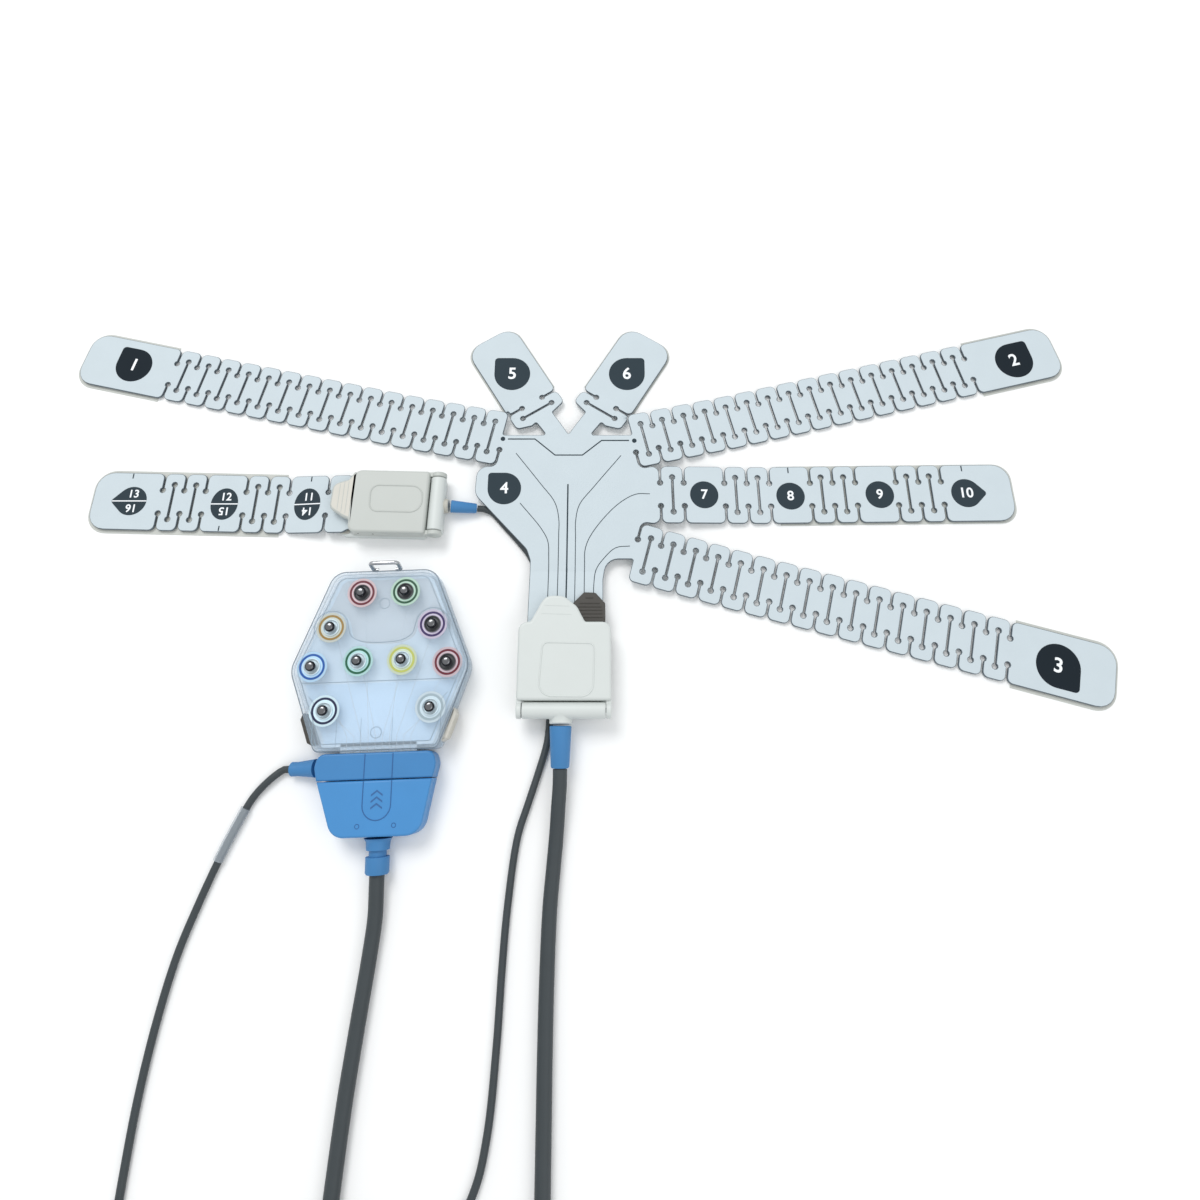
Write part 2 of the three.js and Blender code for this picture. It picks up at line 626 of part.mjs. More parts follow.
// Main clip
const MAIN_BOOT_L = 15.8;
const MAIN_BOOT_DIP = -4 * DEGREE;
const MAIN_COLLAR_X = -1.3;
const MAIN_COLLAR_Z = 4.35; // low enough for the open cover to clear it
const MAIN_COLLAR_R = 4.5;
const MAIN_COLLAR_L = 1.8;
const MAIN_TAB_W = 20.4;
const MAIN_TAB_L = 10.6;
const MAIN_TAB_X = -4.4;
const mainClip = group(model, [0, 0], 0, MAIN_CLIP_Z);
const mainExit = clip(mainClip, 'main_clip', {
  width: MAIN_CLIP_W,
  length: MAIN_CLIP_L,
  lip: 0,
  tabW: MAIN_TAB_W,
  tabL: MAIN_TAB_L,
  tabX: MAIN_TAB_X,
  collarX: MAIN_COLLAR_X,
  collarZ: MAIN_COLLAR_Z,
  collarR: MAIN_COLLAR_R,
  collarL: MAIN_COLLAR_L,
});
const mainBoot = boot(mainClip, 'main_clip_boot', mainExit, {
  length: MAIN_BOOT_L,
  startR: MAIN_COLLAR_R - GAP,
  endR: THICK_D / 2 + CLIP_WALL / 2,
  dip: MAIN_BOOT_DIP,
});
const filmHalf = tailHalf - CLIP_WALL;
put(mainClip, 'sheet_contact_film', block(
  [-filmHalf, -TAIL_L, CLIP_TONGUE_Z], [filmHalf, -GAP, CLIP_TONGUE_Z + TONGUE_T]), FILM);

// Side clip and side strip
const SIDE_BOOT_L = 11.3;
const SIDE_BOOT_DIP = -11 * DEGREE;
const SIDE_COLLAR_R = 3;
const SIDE_COLLAR_L = 1.6;
const SIDE_COLLAR_Z = 4.85;
const SIDE_TAB_W = 19;
const SIDE_TAB_L = 8.6;
const SIDE_TAB_X = 1.6;
const sideClip = group(model, SIDE_CLIP_AT, SIDE_CLIP_TURN);
const sideExit = clip(sideClip, 'side_clip', {
  width: SIDE_CLIP_W,
  length: SIDE_CLIP_L,
  lip: SIDE_LIP_L,
  tabW: SIDE_TAB_W,
  tabL: SIDE_TAB_L,
  tabX: SIDE_TAB_X,
  collarX: 0,
  collarZ: SIDE_COLLAR_Z,
  collarR: SIDE_COLLAR_R,
  collarL: SIDE_COLLAR_L,
});
const sideBoot = boot(sideClip, 'side_clip_boot', sideExit, {
  length: SIDE_BOOT_L,
  startR: SIDE_COLLAR_R - GAP,
  endR: THIN_D / 2 + CLIP_WALL / 2,
  dip: SIDE_BOOT_DIP,
});
const sideFilmHalf = SIDE_TAIL_W / 2 - CLIP_WALL;
put(sideClip, 'side_contact_film', block(
  [-sideFilmHalf, -TAIL_L, CLIP_TONGUE_Z], [sideFilmHalf, -GAP, CLIP_TONGUE_Z + TONGUE_T]), FILM);

const SIDE_FIRST = 12.1; // from the clip's mouth to the first notch that shows
const sideStrip = new THREE.Group();
sideStrip.rotation.z = Math.PI / 2;
sideClip.add(sideStrip);
const SIDE_SPANS = [
  [SIDE_FIRST - LOBE_R, PAD_SPAN], [STRIP_PAD_L, PAD_SPAN],
  [SIDE_PITCH, SLIT_SPAN], [SIDE_PITCH, SLIT_SPAN], [STRIP_PAD_L, PAD_SPAN],
  [SIDE_PITCH, SLIT_SPAN], [SIDE_PITCH, SLIT_SPAN],
];
const sideCells = stripCells({
  start: LOBE_R,
  spans: SIDE_SPANS,
  width: STRIP_W,
  slitL: STRIP_SLIT_L,
  notch: STRIP_NOTCH,
  endL: SIDE_END_L,
  endR: PAD_R,
  rootR: LOBE_R,
});
const stripHalf = STRIP_W / 2;
const sideTailHalf = SIDE_TAIL_W / 2;
const sideTail = [
  [-TAIL_L, -sideTailHalf], [LOBE_R, -sideTailHalf], [LOBE_R, sideTailHalf], [-TAIL_L, sideTailHalf],
];
sideCells[0].outline = [
  [LOBE_R, -sideTailHalf], [LOBE_R + LOBE_R, -stripHalf], [SIDE_FIRST - LOBE_R, -stripHalf],
  [SIDE_FIRST - LOBE_R, stripHalf], [LOBE_R + LOBE_R, stripHalf], [LOBE_R, sideTailHalf],
];
const sideFall = slope(LOBE_R, SIDE_FIRST + STRIP_PAD_L, CLIP_FOAM_Z, FOAM_LOW_Z);
put(sideStrip, 'side_strip', sheet([{ outline: sideTail }, ...sideCells], FOAM_T, sideFall), FOAM);
const sideTip = LOBE_R + spanSum(SIDE_SPANS) + SIDE_END_L + LINER_MARGIN;
const sideLinerLow = SIDE_FIRST + STRIP_PAD_L + LOBE_R;
const sideLinerHalf = stripHalf + LINER_MARGIN;
put(sideStrip, 'liner_side', prism(rounded([
  [sideLinerLow, -sideLinerHalf], [sideTip, -sideLinerHalf, PAD_R + LINER_MARGIN],
  [sideTip, sideLinerHalf, PAD_R + LINER_MARGIN], [sideLinerLow, sideLinerHalf],
]), 0, LINER_T), LINER);

// Snap box: a tray, a clear cover, a board and ten studs
const box = group(model, BOX_AT, BOX_TURN);
function boxOutline(inset) {
  const top = BOX_TOP_W / 2 - inset;
  const middle = BOX_MID_W / 2 - inset;
  const end = BOX_END_W / 2 - inset;
  const [endR, waistR, topR] = [BOX_END_R, BOX_WAIST_R, BOX_TOP_R].map((radius) => (
    Math.max(radius - inset, BOX_WALL)));
  return rounded([
    [-end, inset + GAP, endR], [end, inset + GAP, endR],
    [middle, BOX_WAIST_Y, waistR], [top, BOX_L - inset, topR],
    [-top, BOX_L - inset, topR], [-middle, BOX_WAIST_Y, waistR],
  ]);
}
const tongueHalf = TONGUE_W / 2;
const tongueWay = (low, high) => block(
  [-tongueHalf - GAP, -CUT, low], [tongueHalf + GAP, 2 * BOX_END_R, high]);

const LATCH_L = 13.2;
const LATCH_PROUD = 1.8; // out of the flank
const LATCH_SEAT = 0.4; // into the flank
const LATCH_H = 7.6;
const LATCH_Z = (BOX_H - LATCH_H) / 2;
const LATCH_AT_SHARE = 0.287; // middle of a latch, of the height from the plug to the waist
const flankLean = Math.atan2(BOX_MID_W / 2 - BOX_END_W / 2, BOX_WAIST_Y - GAP);
const latchY = BOX_WAIST_Y * LATCH_AT_SHARE;
// A place on each lower flank, with +X out of it
const latchPlaces = [-1, 1].map((side) => ({
  x: side * (BOX_END_W / 2 + (latchY - GAP) * Math.tan(flankLean)),
  turn: side > 0 ? -flankLean : Math.PI + flankLean,
}));
const latchWindows = latchPlaces.map(({ x, turn }) => block(
  [-BOX_WALL - CUT, -LATCH_L / 2 - GAP, LATCH_Z - GAP],
  [CUT, LATCH_L / 2 + GAP, LATCH_Z + LATCH_H + GAP],
).rotateZ(turn).translate(x, latchY, 0));
const POST_R = 2;
const POST_SHARES = [[0.62, 0.18], [0.62, 0.7]]; // places of the posts, of the box's half sizes
const postL = BOARD_Z - GAP - BOX_WALL / 2;
const posts = POST_SHARES.flatMap(([x, y]) => [-1, 1].map((side) => rod(
  'z', [side * x * BOX_TOP_W / 2, y * BOX_L, BOX_WALL / 2], postL, POST_R, POST_R, SMALL_ROUND)));
const trayShell = cut(
  prism(boxOutline(0), 0, BOX_SPLIT_Z),
  prism(boxOutline(BOX_WALL), BOX_WALL, BOX_SPLIT_Z + CUT),
  ...latchWindows,
);
put(box, 'box_tray', joined(trayShell, ...posts), CLEAR);

const STUD_PLACES_SHARES = [[0.247, 0.87], [0.57, 0.676], [0.75, 0.461], [0.244, 0.483], [0.578, 0.221]];
const studPlaces = STUD_PLACES_SHARES.flatMap(([x, y]) => [-1, 1].map((side) => [
  side * x * BOX_MID_W / 2, y * BOX_L]));
const coverLow = BOX_SPLIT_Z + GAP;
put(box, 'box_cover', cut(
  prism(boxOutline(0), coverLow, BOX_H),
  prism(boxOutline(BOX_WALL), coverLow - CUT, BOX_H - BOX_WALL),
  tongueWay(coverLow - CUT, BOARD_Z + BOARD_T + GAP),
  ...latchWindows,
  ...studPlaces.map(([x, y]) => rod('z', [x, y, BOX_H - BOX_WALL - CUT], BOX_WALL + 2 * CUT,
    STUD_BORE_R, STUD_BORE_R, SMALL_ROUND)),
), CLEAR);

const boardInset = BOX_WALL + GAP;
const boardOutline = boxOutline(boardInset);
put(box, 'circuit_board', joined(
  prism(boardOutline, BOARD_Z, BOARD_Z + BOARD_T),
  block([-tongueHalf, -BOARD_TONGUE_L, BOARD_Z], [tongueHalf, BOX_WALL + 2 * CUT, BOARD_Z + BOARD_T]),
), BOARD);

const NECK_SHARE = 0.72; // of the ball's radius
const BALL_SHARE = 0.62; // height of the ball's widest place, of the stud's
const FLANGE_T = 0.5;
function stud() {
  const low = BOARD_Z + BOARD_T + GAP - BOX_H;
  const seat = GAP;
  const neck = STUD_BALL_R * NECK_SHARE;
  const flange = seat + FLANGE_T;
  const profile = [
    [0, low], [STUD_BORE_R - GAP, low], [STUD_BORE_R - GAP, seat],
    [STUD_FLANGE_R, seat], [STUD_FLANGE_R, flange], [neck, flange],
    [STUD_BALL_R, STUD_H * BALL_SHARE], [neck, STUD_H], [0, STUD_H],
  ];
  const points = profile.map(([r, z]) => new THREE.Vector2(r, z));
  const geometry = new THREE.LatheGeometry(points, STUD_SIDES);
  return geometry.rotateX(Math.PI / 2);
}
studPlaces.forEach(([x, y], index) => {
  const mesh = put(box, `snap_stud_${index + 1}`, bare(stud()), METAL);
  mesh.position.set(x, y, BOX_H);
});

// Wire bail at the top of the box, standing on its two feet
const BAIL_FOOT_L = 2;
const bailY = BOX_L + BAIL_WIRE_R + GAP;
const BAIL_Z = 8;
const bail = group(box, [0, bailY], 0, BAIL_Z);
const rise = (out) => [out * Math.cos(BAIL_RISE), out * Math.sin(BAIL_RISE)];
const bailPath = [];
[[-BAIL_HALF_W + BAIL_FOOT_L, 0], [-BAIL_HALF_W, 0], [-BAIL_HALF_W, BAIL_LEG_L],
  [BAIL_HALF_W, BAIL_LEG_L], [BAIL_HALF_W, 0], [BAIL_HALF_W - BAIL_FOOT_L, 0]].forEach(([x, out]) => {
  bailPath.push([x, ...rise(out)]);
});
function bailPiece(from, to) {
  const start = new THREE.Vector3(...from);
  const along = new THREE.Vector3(...to).sub(start);
  const length = along.length() + BAIL_WIRE_R;
  const up = new THREE.Vector3(0, 1, 0);
  const geometry = new THREE.CylinderGeometry(BAIL_WIRE_R, BAIL_WIRE_R, length, SMALL_ROUND);
  geometry.applyQuaternion(new THREE.Quaternion().setFromUnitVectors(up, along.clone().normalize()));
  return geometry.translate(...start.addScaledVector(along, 1 / 2).toArray());
}
const bailParts = bailPath.slice(1).map((point, index) => bailPiece(bailPath[index], point));
put(bail, 'wire_bail', joined(...bailParts), METAL);

// Two side latches: buttons that press in through windows in the lower flanks
const latchHalf = LATCH_L / 2;
const latchOutline = [
  [-LATCH_SEAT, -latchHalf], [0, -latchHalf], [LATCH_PROUD, LATCH_PROUD - latchHalf],
  [LATCH_PROUD, latchHalf - LATCH_PROUD], [0, latchHalf], [-LATCH_SEAT, latchHalf],
];
latchPlaces.forEach(({ x, turn }, index) => {
  const latch = prism(latchOutline, LATCH_Z, LATCH_Z + LATCH_H);
  const holder = group(box, [x, latchY], turn);
  put(holder, ['box_latch_left', 'box_latch_right'][index], latch, [DARK, SHELL][index]);
});

// Plug: a band, an upper and a lower shell, and the contact block that takes the board
const bandHalf = PLUG_TOP_W / 2;
const endHalf = PLUG_END_W / 2;
const PLUG_R = 4;
const plug = group(model, BOX_AT, BOX_TURN);
const bandOutline = rectangle(PLUG_TOP_W, -GAP - PLUG_BAND_L, -GAP, 0);
const slotHalf = tongueHalf + GAP;
const slotLow = BOARD_Z - GAP;
const slotHigh = BOARD_Z + BOARD_T + GAP;
put(plug, 'plug_band', cut(
  prism(bandOutline, 0, PLUG_H),
  block(
    [-slotHalf - GAP, -PLUG_BAND_L - CUT, slotLow - PLUG_WALL],
    [slotHalf + GAP, CUT, slotHigh + PLUG_WALL],
  ),
), BLUE);
const bodyTop = -GAP - PLUG_BAND_L - GAP;
const bodyOutline = (inset) => rounded([
  [PLUG_END_X - endHalf + inset, -PLUG_L + inset, PLUG_R - inset / 2],
  [PLUG_END_X + endHalf - inset, -PLUG_L + inset, PLUG_R - inset / 2],
  [bandHalf - inset, bodyTop - inset], [-bandHalf + inset, bodyTop - inset],
]);
const NECK_R = 4.6;
const neckZ = PLUG_SPLIT_Z;
const neckL = PLUG_WALL + PLUG_R + CUT;
const neckWay = rod('y', [PLUG_END_X, -PLUG_L - CUT, neckZ], neckL, NECK_R - PLUG_WALL);
put(plug, 'plug_lower_shell', cut(
  prism(bodyOutline(0), 0, PLUG_SPLIT_Z - GAP / 2),
  prism(bodyOutline(PLUG_WALL), PLUG_WALL, PLUG_SPLIT_Z + CUT),
  neckWay,
), BLUE);
put(plug, 'plug_upper_shell', cut(
  prism(bodyOutline(0), PLUG_SPLIT_Z + GAP / 2, PLUG_H),
  prism(bodyOutline(PLUG_WALL), PLUG_SPLIT_Z - CUT, PLUG_H - PLUG_WALL),
  neckWay,
), BLUE);
put(plug, 'plug_contact_block', cut(
  block([-slotHalf, -PLUG_BAND_L, slotLow - PLUG_WALL + GAP], [slotHalf, -GAP, slotHigh + PLUG_WALL - GAP]),
  block([-tongueHalf - GAP / 2, -BOARD_TONGUE_L - GAP, slotLow], [tongueHalf + GAP / 2, CUT, slotHigh]),
), CONTACT);

const PLUG_BOOT_L = 12.6;
const PLUG_BOOT_DIP = -3 * DEGREE;
const plugBoot = boot(plug, 'plug_boot', [PLUG_END_X, -PLUG_L, neckZ], {
  length: PLUG_BOOT_L,
  startR: NECK_R,
  endR: THICK_D / 2 + CLIP_WALL / 2,
  dip: PLUG_BOOT_DIP,
});
const THIN_BOOT_L = 10.8;
const THIN_BOOT_DIP = -13 * DEGREE;
const sideBootY = -GAP - PLUG_BAND_L / 2;
const plugSideBoot = boot(plug, 'plug_side_boot', [-bandHalf, sideBootY, neckZ], {
  length: THIN_BOOT_L,
  startR: SIDE_COLLAR_R,
  endR: THIN_D / 2 + GAP,
  dip: THIN_BOOT_DIP,
  turn: Math.PI / 2,
});

// Cords. Places are from the trunk's centre line and the main clip's mouth.
const THICK_COIL_AT = [-41, -248];
const THICK_COIL_R = 36; // outermost turn, at its middle
const THICK_TURNS = 3.5;
const THIN_COIL_AT = [-129.5, -234];
const THIN_COIL_R = 18.5;
const THIN_TURNS = 4.5;
const COIL_STEPS = 24;
const COIL_SIDES = 6;
const COIL_CLEARANCE = 0.5; // between turns side by side, and between layers
const COIL_LAYERS = 2;

// A flat coil in two layers: it winds in clockwise from its right, climbs, and winds out
function coilPoints([x, y], outerR, turns, diameter) {
  const pitch = diameter + COIL_CLEARANCE;
  const steps = Math.round(turns * COIL_STEPS);
  const half = steps / 2;
  const climb = COIL_STEPS / COIL_LAYERS; // half a turn
  const lowZ = diameter / 2;
  const points = [new THREE.Vector3(x + outerR, y + diameter, lowZ)];
  for (let step = 0; step <= steps; step += 1) {
    const inward = half - Math.abs(step - half);
    const radius = outerR - pitch * inward / COIL_STEPS;
    const lift = THREE.MathUtils.smoothstep(step, half - climb / 2, half + climb / 2);
    const angle = -FULL_TURN * step / COIL_STEPS;
    points.push(new THREE.Vector3(
      x + radius * Math.cos(angle), y + radius * Math.sin(angle), lowZ + pitch * lift));
  }
  points.push(new THREE.Vector3(x - outerR, y + diameter, lowZ + pitch));
  return points;
}

// The least gap between two stretches of a tube, measured on its middle line
function leastGap(points, diameter) {
  const FINE = 8;
  const fine = points.slice(1).flatMap((point, index) => Array.from({ length: FINE },
    (_, step) => points[index].clone().lerp(point, step / FINE)));
  const apart = Math.ceil(COIL_STEPS / 4) * FINE;
  let least = Infinity;
  for (let i = 0; i < fine.length; i += 1) {
    for (let j = i + apart; j < fine.length; j += 1) {
      least = Math.min(least, fine[i].distanceTo(fine[j]));
    }
  }
  return least - diameter;
}

function coil(name, at, outerR, turns, diameter) {
  const points = coilPoints(at, outerR, turns, diameter);
  const curve = new THREE.CatmullRomCurve3(points);
  put(model, name, tube(curve, points.length - 1, diameter / 2, COIL_SIDES), CABLE);
  console.log(`${name}: least gap to itself ${leastGap(points, diameter).toFixed(2)} mm`);
}
coil('trunk_cable_coil', THICK_COIL_AT, THICK_COIL_R, THICK_TURNS, THICK_D);
coil('side_cable_coil', THIN_COIL_AT, THIN_COIL_R, THIN_TURNS, THIN_D);

// A free stretch: a smooth curve through hand-chosen places, with a step every few diameters
const STEP_DIAMETERS = 3;
function stretch(name, places, diameter, sides) {
  const curve = new THREE.CatmullRomCurve3(places.map((place) => new THREE.Vector3(...place)));
  const steps = Math.ceil(curve.getLength() / (STEP_DIAMETERS * diameter));
  put(model, name, tube(curve, steps, diameter / 2, sides), CABLE);
}

// Where a cord leaves a strain relief: its face, and a place straight out of it
function leave({ mesh, face }, diameter) {
  model.updateMatrixWorld(true);
  return [GAP, GAP + diameter].map((out) => (
    mesh.localToWorld(new THREE.Vector3(0, face + out, 0)).toArray()));
}

const THICK_Z = THICK_D / 2;
const THIN_Z = THIN_D / 2;
const COIL_RISE = COIL_CLEARANCE;
const CROSS_Z = THICK_D + THIN_D / 2 + COIL_CLEARANCE; // thin cord over the thick one
stretch('trunk_cable_clip_end', [
  ...leave(mainBoot, THICK_D),
  [-1.8, -70, 4.9], [-2.4, -80, 3.3], [-3.3, -91, THICK_Z],
  [-4.4, -105, THICK_Z], [-5, -125, THICK_Z], [-5.2, -150, THICK_Z], [-5.1, -175, THICK_Z],
  [-5, -200, THICK_Z], [-5, -225, THICK_Z], [-5, -242.1, THICK_Z],
], THICK_D, SMALL_ROUND);
stretch('trunk_cable_plug_end', [
  [-77, -242.1, THICK_Z + THICK_D + COIL_RISE], [-77, -235, 8.2], [-77, -226, 5.8], [-77, -217, 3.5],
  [-76.7, -207, THICK_Z], [-75.9, -190, THICK_Z], [-74.4, -165, THICK_Z], [-72.3, -142, THICK_Z],
  [-70.3, -122, THICK_Z], [-69.2, -108, 3.4],
  ...leave(plugBoot, THICK_D).reverse(),
], THICK_D, SMALL_ROUND);
stretch('side_cable_clip_end', [
  ...leave(sideBoot, THIN_D),
  [-33.6, 50.3, THIN_Z], [-30.4, 47.2, THIN_Z], [-27.3, 43.7, THIN_Z], [-21, 36.7, THIN_Z],
  [-15.5, 29.5, THIN_Z], [-12, 20, THIN_Z], [-10, 8, THIN_Z], [-8.6, -6, THIN_Z],
  [-7, -20, THIN_Z], [-6, -34, THIN_Z], [-6.8, -46.2, THIN_Z], [-9.7, -56.6, THIN_Z], [-13.7, -69, THIN_Z], [-17.4, -80.8, THIN_Z],
  [-20.4, -105.2, THIN_Z], [-21.6, -125, THIN_Z], [-22.6, -150, THIN_Z], [-24.6, -175, THIN_Z],
  [-28, -190, THIN_Z], [-34.5, -201, THIN_Z], [-46, -206.6, THIN_Z], [-57, -207.5, 2.6],
  [-67, -207.5, 6.4], [-77, -207.5, CROSS_Z], [-87, -207.5, 6.4], [-95.5, -208, 2.6],
  [-103.5, -210.4, THIN_Z], [-109, -217, THIN_Z], [-111, -225, THIN_Z], [-111, -230.9, THIN_Z],
], THIN_D, SMALL_ROUND);
stretch('side_cable_plug_end', [
  [-148, -230.9, THIN_Z + THIN_D + COIL_RISE], [-148, -225, 3.9], [-148, -217, 2.2],
  [-148, -207, THIN_Z], [-147.9, -188, THIN_Z], [-147.2, -165, THIN_Z], [-145, -142, THIN_Z],
  [-141.4, -121, THIN_Z], [-136.7, -105, THIN_Z], [-131.3, -89.4, THIN_Z], [-126, -76.5, THIN_Z],
  [-121.4, -66.9, THIN_Z], [-115.6, -60.4, 1.9],
  ...leave(plugSideBoot, THIN_D).reverse(),
], THIN_D, SMALL_ROUND);

// The origin goes to the bottom centre of what isn't a cord
const CORDS = /_cable_/;
model.updateMatrixWorld(true);
const bounds = new THREE.Box3();
model.traverse((child) => {
  if (child.isMesh && !CORDS.test(child.name)) bounds.expandByObject(child, true);
});
const middle = bounds.getCenter(new THREE.Vector3());
model.position.set(-middle.x, -middle.y, 0);
model.updateMatrixWorld(true);
const shift = `${middle.x.toFixed(3)}, ${middle.y.toFixed(3)}`;
console.log(`origin from the trunk's centre line and clip mouth: ${shift}`);

export default model;
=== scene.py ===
import math

import bmesh
import bpy
from mathutils import Matrix, Vector, geometry


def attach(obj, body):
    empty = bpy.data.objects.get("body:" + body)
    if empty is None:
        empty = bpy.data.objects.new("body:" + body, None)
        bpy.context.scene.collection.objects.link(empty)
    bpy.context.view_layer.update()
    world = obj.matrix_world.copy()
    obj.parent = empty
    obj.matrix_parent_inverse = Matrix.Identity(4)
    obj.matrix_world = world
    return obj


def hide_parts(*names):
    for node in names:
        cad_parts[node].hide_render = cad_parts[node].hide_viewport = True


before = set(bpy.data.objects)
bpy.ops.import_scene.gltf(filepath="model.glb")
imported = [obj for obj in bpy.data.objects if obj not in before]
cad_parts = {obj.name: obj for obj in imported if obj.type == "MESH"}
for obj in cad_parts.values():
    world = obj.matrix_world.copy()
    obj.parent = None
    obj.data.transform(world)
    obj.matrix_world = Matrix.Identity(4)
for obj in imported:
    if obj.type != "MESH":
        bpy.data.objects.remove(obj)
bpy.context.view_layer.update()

MM = 0.001
ORIGIN = (0.676, 24.703)  # of the frame, from the centre line and the clip's mouth
FULL_TURN = 2 * math.pi
QUARTER = math.pi / 2
UP = Vector((0, 0, 1))
GAP = 0.3

# Cords, foam and liner
THIN_D = 2.8
THICK_D = 5.6
FOAM_T = 1.2
FOAM_LOW = 0.6
FOAM_HIGH = 3.1
LINER_T = 0.3
LINER_MARGIN = 1.4
SLIT_W = 0.8
BULB_R = 1.2
BULB_STEPS = 8
LOBE_R = 2.4
PAD_R = 7.5

# Trunk and arms
TRUNK_HALF_W = 40.8
TRUNK_H = 86
TAIL_HALF_W = 15.6
TAIL_L = 23
TAIL_RAMP_L = 20.4
ROOT_SHARES = {  # of the trunk's half width and height
    "ra": (-0.74, 0.981), "la": (0.725, 0.966), "ll": (0.725, 0.366), "chest": (1.015, 0.67)}
ROOT_TURNS = {"ra": 167.8, "la": 13.4, "ll": -15.2, "chest": 0.65}
LIMB_W = 26
LIMB_PITCHES = {"ra": 10, "la": 10.18, "ll": 10}
LIMB_SLITS = 16
LIMB_SLIT_L = 17.6
LIMB_NOTCH = 8.6
LIMB_PAD_L = 43.5
RAMP_L = 45
STRIP_W = 26.4
STRIP_SLIT_L = 18.5
STRIP_NOTCH = 9
CHEST_PITCH = 10.1
SIDE_PITCH = 9.6
STRIP_PAD_L = 18.2
CHEST_END_L = 31
SIDE_END_L = 30
SIDE_FIRST = 12.1
SIDE_TAIL_W = 23.6
TAB_W = 25.6
TAB_AT = (26.6, 118.2)
TAB_TURN = 58
TAB_TIP_L = 22.2
TAB_NOTCH_X = -17.8
TAB_SLIT_X = -22.7
TAB_HEEL_X = -25.2
TAB_RAMP = (-35.2, -15.4)

# Clips
CLIP_BASE_T = 3.6
CLIP_FOAM_Z = 4.6
CLIP_COVER_Z = 6.1
CLIP_H = 10.3
HINGE_Z = 6.8
BARREL_R = 3.3
SIDE_CLIP_X = -93.6
SIDE_CLIP_Y_SHARE = 0.615  # of the trunk's height
SIDE_CLIP_TURN = 88.6

# Snap box and plug
BOX_AT = (-72.6, -50)
BOX_TURN = 2.1
BOX_L = 71.6
BOX_MID_W = 72
BOX_TOP_W = 42
BOX_END_W = 48.2
BOX_WAIST_Y = 32
BOX_RADII = (3, 9, 7)  # of its corners: at the plug, at the waist and at the top
BOX_H = 12
BOX_SPLIT_Z = 5.4
PLUG_H = 11
PLUG_L = 30.5
PLUG_SPLIT_Z = 5.2
PLUG_END_X = 1.4
BOARD_Z = 6.2
BAND_L = 9.8


def placed(x, y, turn=0.0, z=0.0):
    """From a piece's own place, turned by some degrees, to the millimetres above."""
    return Matrix.Translation((x, y, z)) @ Matrix.Rotation(math.radians(turn), 4, "Z")


TO_FRAME = Matrix.Scale(MM, 4) @ placed(-ORIGIN[0], -ORIGIN[1])
ROOTS = {name: placed(x * TRUNK_HALF_W, y * TRUNK_H, ROOT_TURNS[name])
         for name, (x, y) in ROOT_SHARES.items()}
CHEST = ROOTS["chest"]
TABS = {"v1": placed(-TAB_AT[0], TAB_AT[1], 180 - TAB_TURN), "v2": placed(*TAB_AT, TAB_TURN)}
ALONG_Y = placed(0, 0, 90)
MAIN_CLIP = placed(0, 0, z=FOAM_HIGH)
SIDE_CLIP = placed(SIDE_CLIP_X, SIDE_CLIP_Y_SHARE * TRUNK_H, SIDE_CLIP_TURN)
SIDE_STRIP = SIDE_CLIP @ ALONG_Y
BOX = placed(*BOX_AT, BOX_TURN)


def at(place, x, y, z=0.0):
    return place @ Vector((x, y, z))


def added(name, data):
    """A new object in the scene."""
    thing = bpy.data.objects.new(name, data)
    bpy.context.scene.collection.objects.link(thing)
    return thing


# Finishes
TONE_DETAIL = 4
GRAIN_DETAIL = 3
BUMP_MM = 0.2


def linear(*levels):
    """A colour from its 0 to 255 levels."""
    shares = [level / 255 for level in levels]
    return tuple(s / 12.92 if s <= 0.04045 else ((s + 0.055) / 1.055) ** 2.4 for s in shares) + (1,)


def paint(name, levels, roughness, metallic=0.0, mottle=0.05, mottle_mm=9.0, grain=0.1,
          grain_mm=0.5, alpha=1.0, coat=0.0, shine=0.5):
    """A finish with slow changes of tone and a fine grain."""
    material = bpy.data.materials.new(name)
    material.use_nodes = True
    nodes, links = material.node_tree.nodes, material.node_tree.links
    shader = nodes["Principled BSDF"]
    colour = linear(*levels)
    settings = {"Base Color": colour, "Roughness": roughness, "Metallic": metallic, "Alpha": alpha,
                "Coat Weight": coat, "Specular IOR Level": shine}
    for socket, value in settings.items():
        shader.inputs[socket].default_value = value
    where = nodes.new("ShaderNodeTexCoord")
    tone, fine = nodes.new("ShaderNodeTexNoise"), nodes.new("ShaderNodeTexNoise")
    for noise, size, detail in ((tone, mottle_mm, TONE_DETAIL), (fine, grain_mm, GRAIN_DETAIL)):
        noise.inputs["Scale"].default_value = 1 / (size * MM)
        noise.inputs["Detail"].default_value = detail
        links.new(where.outputs["Object"], noise.inputs["Vector"])
    mix = nodes.new("ShaderNodeMix")
    mix.data_type = "RGBA"
    mix.inputs["A"].default_value = tuple(c * (1 - mottle) for c in colour[:3]) + (1,)
    mix.inputs["B"].default_value = tuple(min(1, c * (1 + mottle)) for c in colour[:3]) + (1,)
    bump = nodes.new("ShaderNodeBump")
    bump.inputs["Strength"].default_value = grain
    bump.inputs["Distance"].default_value = BUMP_MM * MM
    links.new(tone.outputs["Fac"], mix.inputs["Factor"])
    links.new(mix.outputs["Result"], shader.inputs["Base Color"])
    links.new(fine.outputs["Fac"], bump.inputs["Height"])
    links.new(bump.outputs["Normal"], shader.inputs["Normal"])
    material.diffuse_color = colour
    return material


